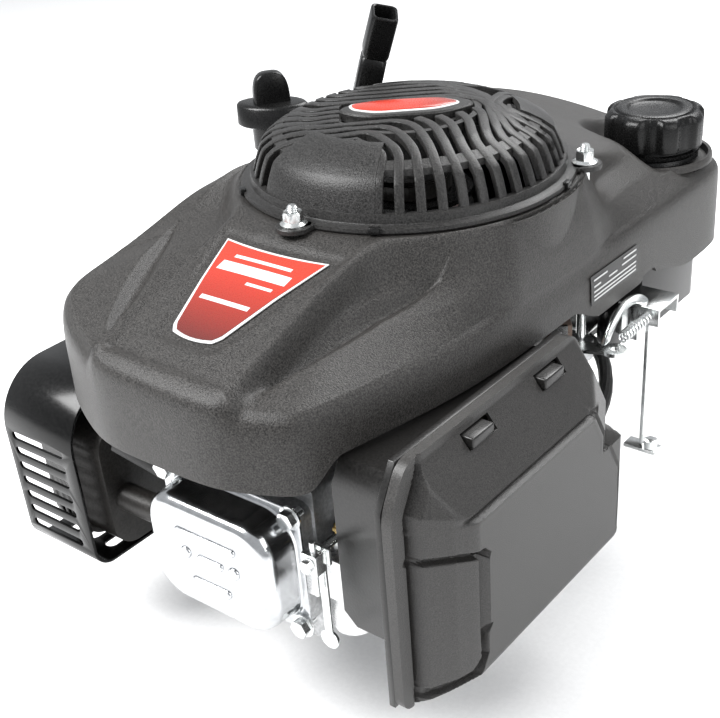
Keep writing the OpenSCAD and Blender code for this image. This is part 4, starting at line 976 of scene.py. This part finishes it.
def cleaner_bulge(y, z):
    """How far the air cleaner's cover stands out from its rim at (y, z)."""
    left = min(y - RIM_LEFT, (y - RIM_LEFT) * 0.864 + (LEFT_CHAMFER - z) * 0.504)
    rear = min(RIM_REAR - y, (RIM_REAR - y) * 0.866 + (REAR_CHAMFER - z) * 0.5)
    out = soft_min([table(LEFT_STEPS, left), table(TOP_STEPS, RIM_TOP - z),
                    table(REAR_STEPS if z > 92 else FOOT_STEPS, rear),
                    table(FOOT_STEPS, z - RIM_FOOT)])
    for path, depth, near, far in GROOVES:
        out -= depth * (1 - smooth(near, far, near_line(path, y, z)[0]))
    return max(4.0, out)


def build_cleaner_cover():
    outline = round_polygon(RIM_OUTLINE, 8, 6)
    around = [(p.x, p.y) for p in along([(y, z, 0) for y, z in outline + outline[:1]], 561)][:-1]
    steps = [0.0, 0.006] + [0.006 + 0.0092 * i for i in range(1, 62)]
    steps += [0.58 + 0.07 * i for i in range(7)]
    rings = [[(COVER_FOOT, y, z) for y, z in around]]
    for t in steps:
        ring = []
        for y, z in around:
            py, pz = lerp(y, min(-60, max(-122, y)), t), lerp(z, 72, t)
            ring.append((COVER_FOOT + cleaner_bulge(py, pz), py, pz))
        rings.append(ring)
    obj = loft("cleaner_cover", rings, BOX, "cleaner_cover", (False, True), sharp=32, ride=False)
    thicken(obj, 2.2)
    cut(obj, [block("window", (120, y, 144.5), (142, y + 25, 152.5), None, soft=0, ride=False)
              for y in LATCHES])
    shade(obj, 32)
    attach(obj, "cleaner_cover")
    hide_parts("air_cleaner_cover")
    for y in LATCHES:
        latch = block("cleaner_latch", (122, y + 1, 145), (133.5, y + 20.5, 151.5), HOUSING,
                      "cleaner_cover", soft=1.2)


# ---------------------------------------------------------------- valve cover

def plate_ring(y, width, height, radius):
    return [(u, y, 62 + v) for u, v in round_box(width, height, radius, 8)]


def build_valve_cover():
    flange = loft("valve_cover_flange", [plate_ring(-178.1, 104, 83, 8),
                                         plate_ring(-179.3, 104, 83, 8),
                                         plate_ring(-179.6, 103, 82, 8)], CHROME)
    pan = loft("valve_cover_pan", [plate_ring(y, w, h, r) for y, w, h, r in
                                   [(-179.5, 97.5, 76.5, 21), (-180.3, 95, 74, 21),
                                    (-182, 94, 73, 21), (-194, 93.4, 72.4, 21),
                                    (-197.5, 92, 71, 20.5), (-200, 89, 68, 19.5),
                                    (-201.5, 84.5, 63.5, 18), (-202, 79, 58, 16),
                                    (-201.6, 75, 54, 14), (-201.4, 60, 40, 10)]], CHROME)
    cover = join([flange, pan])
    shade(cover, 40)
    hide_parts("valve_cover")
    marks = [(0, 78, 46, 5), (-17, 64, 8, 8), (2, 64, 20, 5), (20, 64, 8, 8), (0, 46, 30, 6)]
    for k, (x, z, w, h) in enumerate(marks):
        rings = [[(x + u, y, z + v) for u, v in round_box(w - g, h - g, (h - g) / 2 - 0.05, 6)]
                 for y, g in ((-201.2, 0), (-202.0, 0.3), (-202.5, 1.2))]
        mark = loft("cover_boss_%d" % k, rings, CHROME)


# ---------------------------------------------------------------- fuel cap, grip, dipstick

def build_fuel_cap():
    rings = []
    profile = [(33.0, 197.4, 0.9), (33.5, 198.4, 1), (33.5, 213.5, 1), (33.0, 216.2, 1),
               (31.4, 218.3, 0.8), (29.2, 219.4, 0.4), (27.6, 219.6, 0.15), (26.6, 219.2, 0),
               (26.2, 218.4, 0), (25.6, 218.2, 0), (25, 218.6, 0), (24.6, 219.8, 0),
               (23.4, 220.3, 0), (19.4, 220.3, 0), (18.2, 219.9, 0), (17.5, 218.8, 0),
               (16.5, 218.4, 0), (6, 218.3, 0), (0.1, 218.3, 0)]
    for radius, z, depth in profile:
        ring = []
        for t in turn_steps(144):
            wave = smooth(-0.5, 0.35, math.cos(8 * t)) - 0.1 * abs(math.sin(32 * t))
            r = radius - 3.2 * depth * (1 - wave)
            ring.append((NECK[0] + r * math.cos(t), NECK[1] + r * math.sin(t), z))
        rings.append(ring)
    cap = loft("fuel_cap_shell", rings, GLOSSY, "cap", (True, True), sharp=48)
    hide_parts("fuel_cap")
    ring_profile = [(26.5, 186), (29.4, 186), (30.2, 188.5), (29.4, 191), (28.6, 191.4),
                    (30.6, 192.2), (30.8, 194.4), (28.6, 195.2), (28.2, 197.2), (26.5, 197.2)]
    rings = lathe("tank_neck_rings", ring_profile, GLOSSY, (*NECK, 0), 96, closed=True)


def square_ring(centre, direction, size, radius, turn):
    """A rounded square across a direction, its sides kept level with X."""
    t = Vector(direction).normalized()
    side = Vector((math.cos(turn), math.sin(turn), 0))
    side = (side - t * side.dot(t)).normalized()
    up = t.cross(side)
    return [tuple(Vector(centre) + side * u + up * v) for u, v in round_box(size, size, radius, 5)]


def build_grip():
    low, knee, top = Vector((-90, 73, 234)), Vector((-82, 77.4, 264)), Vector((-68.6, 74.5, 293))
    d0, d1 = (knee - low).normalized(), (top - knee).normalized()
    mid = (d0 + d1).normalized()
    turn = math.radians(39)
    rows = [(low, 0, d0, d0, 13.5, 3), (low, 0.8, d0, d0, 16, 3.2), (low, 2.2, d0, d0, 17.4, 3.6),
            (low, 23, d0, d0, 17.4, 3.6), (knee, -1.6, d0, d0 + mid, 17.0, 3.6),
            (knee, 0, d0, mid, 15.9, 3.6), (knee, 1.6, d1, d1 + mid, 17.0, 3.6),
            (knee, 4, d1, d1, 17.4, 3.6), (top, -1.6, d1, d1, 17.4, 3.6),
            (top, -0.5, d1, d1, 16.8, 3.4), (top, 0, d1, d1, 15.4, 3.0),
            (top, -0.4, d1, d1, 13.6, 2.6), (top, -2, d1, d1, 12.8, 2.4),
            (top, -22, d1, d1, 12.4, 2.4)]
    rings = [square_ring(start + way * step, across, size, radius, turn)
             for start, step, way, across, size, radius in rows]
    grip = loft("pull_grip", rings, SATIN, "grip", (True, True), sharp=40)
    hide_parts("starter_grip")


WIND_R = 29.5
WIND_TURN = 680


def build_rope():
    """Wound on the pulley, out through the guide and up into the grip, where it pays out."""
    begin = math.degrees(math.atan2(GRIP[1], GRIP[0]) + math.acos(WIND_R / math.hypot(*GRIP)))
    path = []
    for a in range(0, WIND_TURN + 1, 10):
        t = math.radians(begin + a - WIND_TURN)
        path.append((WIND_R * math.cos(t), WIND_R * math.sin(t), 205 + 4.2 * a / WIND_TURN))
    path += [(GRIP[0] * 0.86 + 4, GRIP[1] * 0.86 + 4, 208), (*GRIP, 208.5)]
    path = cut_corners(path, 2)
    path += [(*GRIP, 211 + 0.8 * i) for i in range(52)]
    rope = pipe("pull_rope", path, 1.9, ROPE, 10)
    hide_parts("starter_rope")
    rope.parent = None
    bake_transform(rope)


def lens_ring(centre, z, half_length, half_width, turn):
    """A lens-shaped outline, its ends rounded, with its long axis turned from X."""
    out = []
    c, s = math.cos(turn), math.sin(turn)
    for t in turn_steps(64):
        u = half_length * math.copysign(abs(math.cos(t)) ** 0.85, math.cos(t))
        v = half_width * math.copysign(abs(math.sin(t)) ** 1.25, math.sin(t))
        out.append((centre[0] + u * c - v * s, centre[1] + u * s + v * c, z))
    return out


def build_dipstick():
    """Oil filler cap: a lens-shaped skirt, an arched tab across it and the blade below."""
    centre = (-138, 35)
    turn = math.radians(24)
    skirt = loft("dipstick_skirt", [lens_ring(centre, z, a, b, turn) for z, a, b in
                                    [(223.5, 22, 13), (223.2, 24.5, 15), (224, 25.5, 16),
                                     (236, 25, 15.4), (237.6, 23.5, 13.8), (238, 20, 11)]],
                 SATIN, "dipstick_body", sharp=50)
    neck = lathe("dipstick_neck", [(14.2, 207), (15, 208), (15, 224), (13, 226)], SATIN,
                 (*centre, 0), 56, "dipstick_body")
    tab_turn = math.radians(52)
    along_tab = Vector((math.cos(tab_turn), math.sin(tab_turn), 0))
    across = Vector((-along_tab.y, along_tab.x, 0))
    rings = []
    for v, grow in ((-5.2, -1.6), (-4.6, -0.5), (-3.4, 0), (3.4, 0), (4.6, -0.5), (5.2, -1.6)):
        ring = []
        for i in range(29):
            t = math.pi * i / 28
            u = (12.2 + grow) * math.copysign(abs(math.cos(t)) ** 0.62, math.cos(t))
            up = (21.2 + grow) * abs(math.sin(t)) ** 0.7
            ring.append(tuple(Vector((*centre, 236.6 + up)) + along_tab * u + across * v))
        rings.append(ring)
    tab = loft("dipstick_tab", rings, SATIN, "dipstick_body", sharp=50)
    blade = block("dipstick_blade", (-141, 34, 121), (-135, 36, 210), ZINC, "dipstick_body",
                  soft=0.4)
    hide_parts("dipstick")


# ---------------------------------------------------------------- muffler guard

def stadium(name, x0, x1, z0, z1, y0, y1, upright=True):
    """A cutter with round ends; upright cuts through Y, otherwise through Z."""
    w, h = x1 - x0, z1 - z0
    cx, cz = (x0 + x1) / 2, (z0 + z1) / 2
    shape = round_box(w, h, min(w, h) / 2 - 0.02, 6)
    rings = [[(cx + u, y, cz + v) if upright else (cx + u, cz + v, y) for u, v in shape]
             for y in (y0, y1)]
    return loft(name, rings, None, ride=False)


def build_guard():
    path = [(-113, 1.4), (-150, 1.4), (-178, 1.4)]
    path += [(-178 - 13 * math.sin(t), 14.4 - 13 * math.cos(t))
             for t in [math.pi / 2 * i / 8 for i in range(1, 9)]]
    path += [(-191, 40), (-191, 62), (-191, 86)]
    path += [(-154 - 37 * math.cos(t), 86 + 37 * math.sin(t))
             for t in [math.pi / 2 * i / 16 for i in range(1, 17)]]
    path += [(-135, 123), (-113, 123)]
    rows = [[(x, y, z) for y, z in path] for x in (-183, -151, -119)]
    verts = [p for row in rows for p in row]
    guard = piece("guard_sheet", verts, strip_faces(3, len(path), False), PAINT, sharp=40,
                  ride=False)
    thicken(guard, 2.0, 0)
    cutters = [stadium("slot", -177, -129, 15.5 + 11 * i, 21 + 11 * i, -196, -184)
               for i in range(7)]
    cutters += [stadium("slot", -172 + 17 * i, -163 + 17 * i, -172, -132, -3, 6, False)
                for i in range(3)]
    cut(guard, cutters)
    bevel(guard, 0.45, 2, 40, 38)
    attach(guard, "block")
    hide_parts("muffler_guard")


# ---------------------------------------------------------------- fasteners

def hex_nut(name, centre, z0, across, height, flange_r, stud_top, stud_r):
    """A flange nut standing on z0 with its stud's threaded end above it."""
    x, y = centre
    flange = lathe(name + "_flange", [(3.1, z0), (flange_r, z0), (flange_r, z0 + 0.7),
                                      (across * 0.56, z0 + 1.9), (3.1, z0 + 1.9)], ZINC,
                   (x, y, 0), 48, ride=False, closed=True)
    corner = across / math.sqrt(3)
    rings = []
    for z, f in ((z0 + 1.2, 1.0), (z0 + height - 1.0, 1.0), (z0 + height, 0.86)):
        ring = []
        for t in turn_steps(48):
            local = (t + math.pi / 6) % (math.pi / 3) - math.pi / 6
            r = min(across / 2 / math.cos(local), corner * f if f < 1 else corner * 0.985)
            ring.append((x + r * math.cos(t + 0.4), y + r * math.sin(t + 0.4), z))
        rings.append(ring)
    top_in = [(x + 3.2 * math.cos(t + 0.4), y + 3.2 * math.sin(t + 0.4), z0 + height - 0.4)
              for t in turn_steps(48)]
    nut = loft(name + "_hex", rings + [top_in], ZINC, ride=False)
    thread = []
    z = z0 + height - 1
    while z < stud_top - 1:
        thread += [(stud_r, z), (stud_r - 0.45, z + 0.5)]
        z += 1.0
    thread += [(stud_r - 0.2, stud_top - 0.8), (stud_r - 0.9, stud_top), (0.1, stud_top)]
    stud = lathe(name + "_stud", [(stud_r, 102)] + thread, ZINC, (x, y, 0), 32, ride=False)
    nut = join([nut, flange, stud])
    nut.name = name
    shade(nut, 30)
    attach(nut, "block")
    return nut


def build_nuts():
    first = None
    for k, a in enumerate(NUT_ANGLES):
        t = math.radians(a)
        centre = (NUT_CIRCLE * math.cos(t), NUT_CIRCLE * math.sin(t))
        nut = hex_nut("housing_nut_%d" % k, centre, 227.1, 10, 7.2, 7.5, 237.8, 3.0)
        first = first or nut
    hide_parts("housing_nuts")


# ---------------------------------------------------------------- CAD nodes with real finishes, and painted shade on the parts inside the starter housing

SLOT_LOOK = {
    "cast_aluminium": CAST, "machined_aluminium": MACHINED, "cast_iron": IRON, "steel": STEEL,
    "zinc_plate": ZINC, "bright_plate": CHROME, "brass": BRASS, "shroud_plastic": COVER,
    "smooth_plastic": HOUSING, "gear_steel": STEEL, "gloss_plastic": GLOSSY,
    "black_paint": PAINT, "muffler_steel": SOOT, "rubber": RUBBER, "ceramic": CERAMIC,
    "paper": PAPER, "rope": ROPE, "friction": LINING,
}
# Painted shade: the starter cup, pulley, recoil spring, cooling fan and flywheel sit under the
# grille, so they get near-black finishes in place of their own to stand for the shade inside the
# housing.
PAINTED_SHADE_LOOK = {"starter_cup": PAINT, "starter_pulley": SATIN, "cooling_fan": SATIN,
             "recoil_spring": SOOT, "flywheel": SOOT}
ROUNDED = {
    "air_cleaner_base": (HOUSING, 1.0), "brake_bracket": (ZINC, 0.5), "brake_lever": (ZINC, 0.5),
    "spring_cup": (PAINT, 2.0), "cable_clamp": (ZINC, 0.6), "throttle_bracket": (ZINC, 0.4),
    "fuel_tank": (HOUSING, 2.5), "muffler": (SOOT, 1.6), "crankcase": (CAST, 0.9),
    "cylinder_head": (CAST, 0.8), "oil_sump": (CAST, 1.2), "flange_bolts": (ZINC, 0.4),
    "ignition_coil": (PAINT, 0.6), "plug_boot": (RUBBER, 1.2), "carburetor": (MACHINED, 0.8),
}


def dress_cad_nodes():
    for node, (material, width) in ROUNDED.items():
        from_cad(node + "_body", node, material, width)
    for name, obj in frame["nodes"].items():
        # Parts inside the starter housing take the near-black painted-shade finish; every other
        # node takes its slot's own finish.
        own_look_or_painted_shade = PAINTED_SHADE_LOOK.get(name) or SLOT_LOOK[node_slot(name)]
        obj.data.materials.clear()
        obj.data.materials.append(own_look_or_painted_shade)
        for poly in obj.data.polygons:
            poly.material_index = 0


# ---------------------------------------------------------------- camera, floor and light

CAMERA_AT = Vector((0.4195, -0.5472, 0.4668))
CAMERA_TURN = (39.405, 31.874, -4.194)
FLOOR_Z = -0.0625


def build_camera():
    azimuth, elevation, roll = (math.radians(v) for v in CAMERA_TURN)
    back = Vector((math.sin(azimuth) * math.cos(elevation),
                   -math.cos(azimuth) * math.cos(elevation), math.sin(elevation)))
    right = Vector((math.cos(azimuth), math.sin(azimuth), 0))
    up = back.cross(right)
    turned = math.cos(roll) * right + math.sin(roll) * up
    raised = -math.sin(roll) * right + math.cos(roll) * up
    data = bpy.data.cameras.new("camera")
    data.sensor_width = 36
    data.lens = 60.3
    data.shift_x, data.shift_y = -0.040, 0.111
    data.clip_start = 0.02
    cam = bpy.data.objects.new("camera", data)
    scene.collection.objects.link(cam)
    cam.matrix_world = Matrix.Translation(CAMERA_AT) @ Matrix(
        (turned, raised, back)).transposed().to_4x4()
    scene.camera = cam


def area_light(name, place, target, size, power):
    data = bpy.data.lights.new(name, "AREA")
    data.shape = "RECTANGLE"
    data.size, data.size_y = size
    data.energy = power
    lamp = bpy.data.objects.new(name, data)
    scene.collection.objects.link(lamp)
    lamp.location = place
    lamp.rotation_euler = (Vector(target) - Vector(place)).to_track_quat("-Z", "Y").to_euler()


def build_studio():
    mat = finish("studio_floor", grey(0.86), grey(0.9), 0.6, grain=300, relief=0.02, mottle=0.01,
                 scuff=0.0)
    floor = piece("floor", [(-3000, -3000, 0), (3000, -3000, 0), (3000, 3000, 0),
                            (-3000, 3000, 0)], [(0, 1, 2, 3)], mat, ride=False)
    floor.location.z = FLOOR_Z
    world = bpy.data.worlds.new("studio")
    world.use_nodes = True
    world.node_tree.nodes["Background"].inputs["Color"].default_value = (0.95, 0.97, 1.0, 1)
    world.node_tree.nodes["Background"].inputs["Strength"].default_value = 0.62
    scene.world = world
    scene.view_settings.view_transform = "Standard"
    area_light("key", (-0.75, -0.95, 1.5), (0, 0, 0.15), (0.9, 0.9), 62)
    area_light("right_fill", (1.5, -0.2, 0.9), (0, 0, 0.12), (0.7, 1.2), 12)
    area_light("top_back", (0.1, 1.2, 1.5), (0, 0, 0.15), (1.4, 0.8), 40)


build_cover()
build_front_label()
build_rating_plate()
build_grille()
build_badge()
build_cleaner_cover()
build_valve_cover()
build_fuel_cap()
build_grip()
build_rope()
build_dipstick()
build_guard()
build_nuts()
dress_cad_nodes()
build_camera()
build_studio()
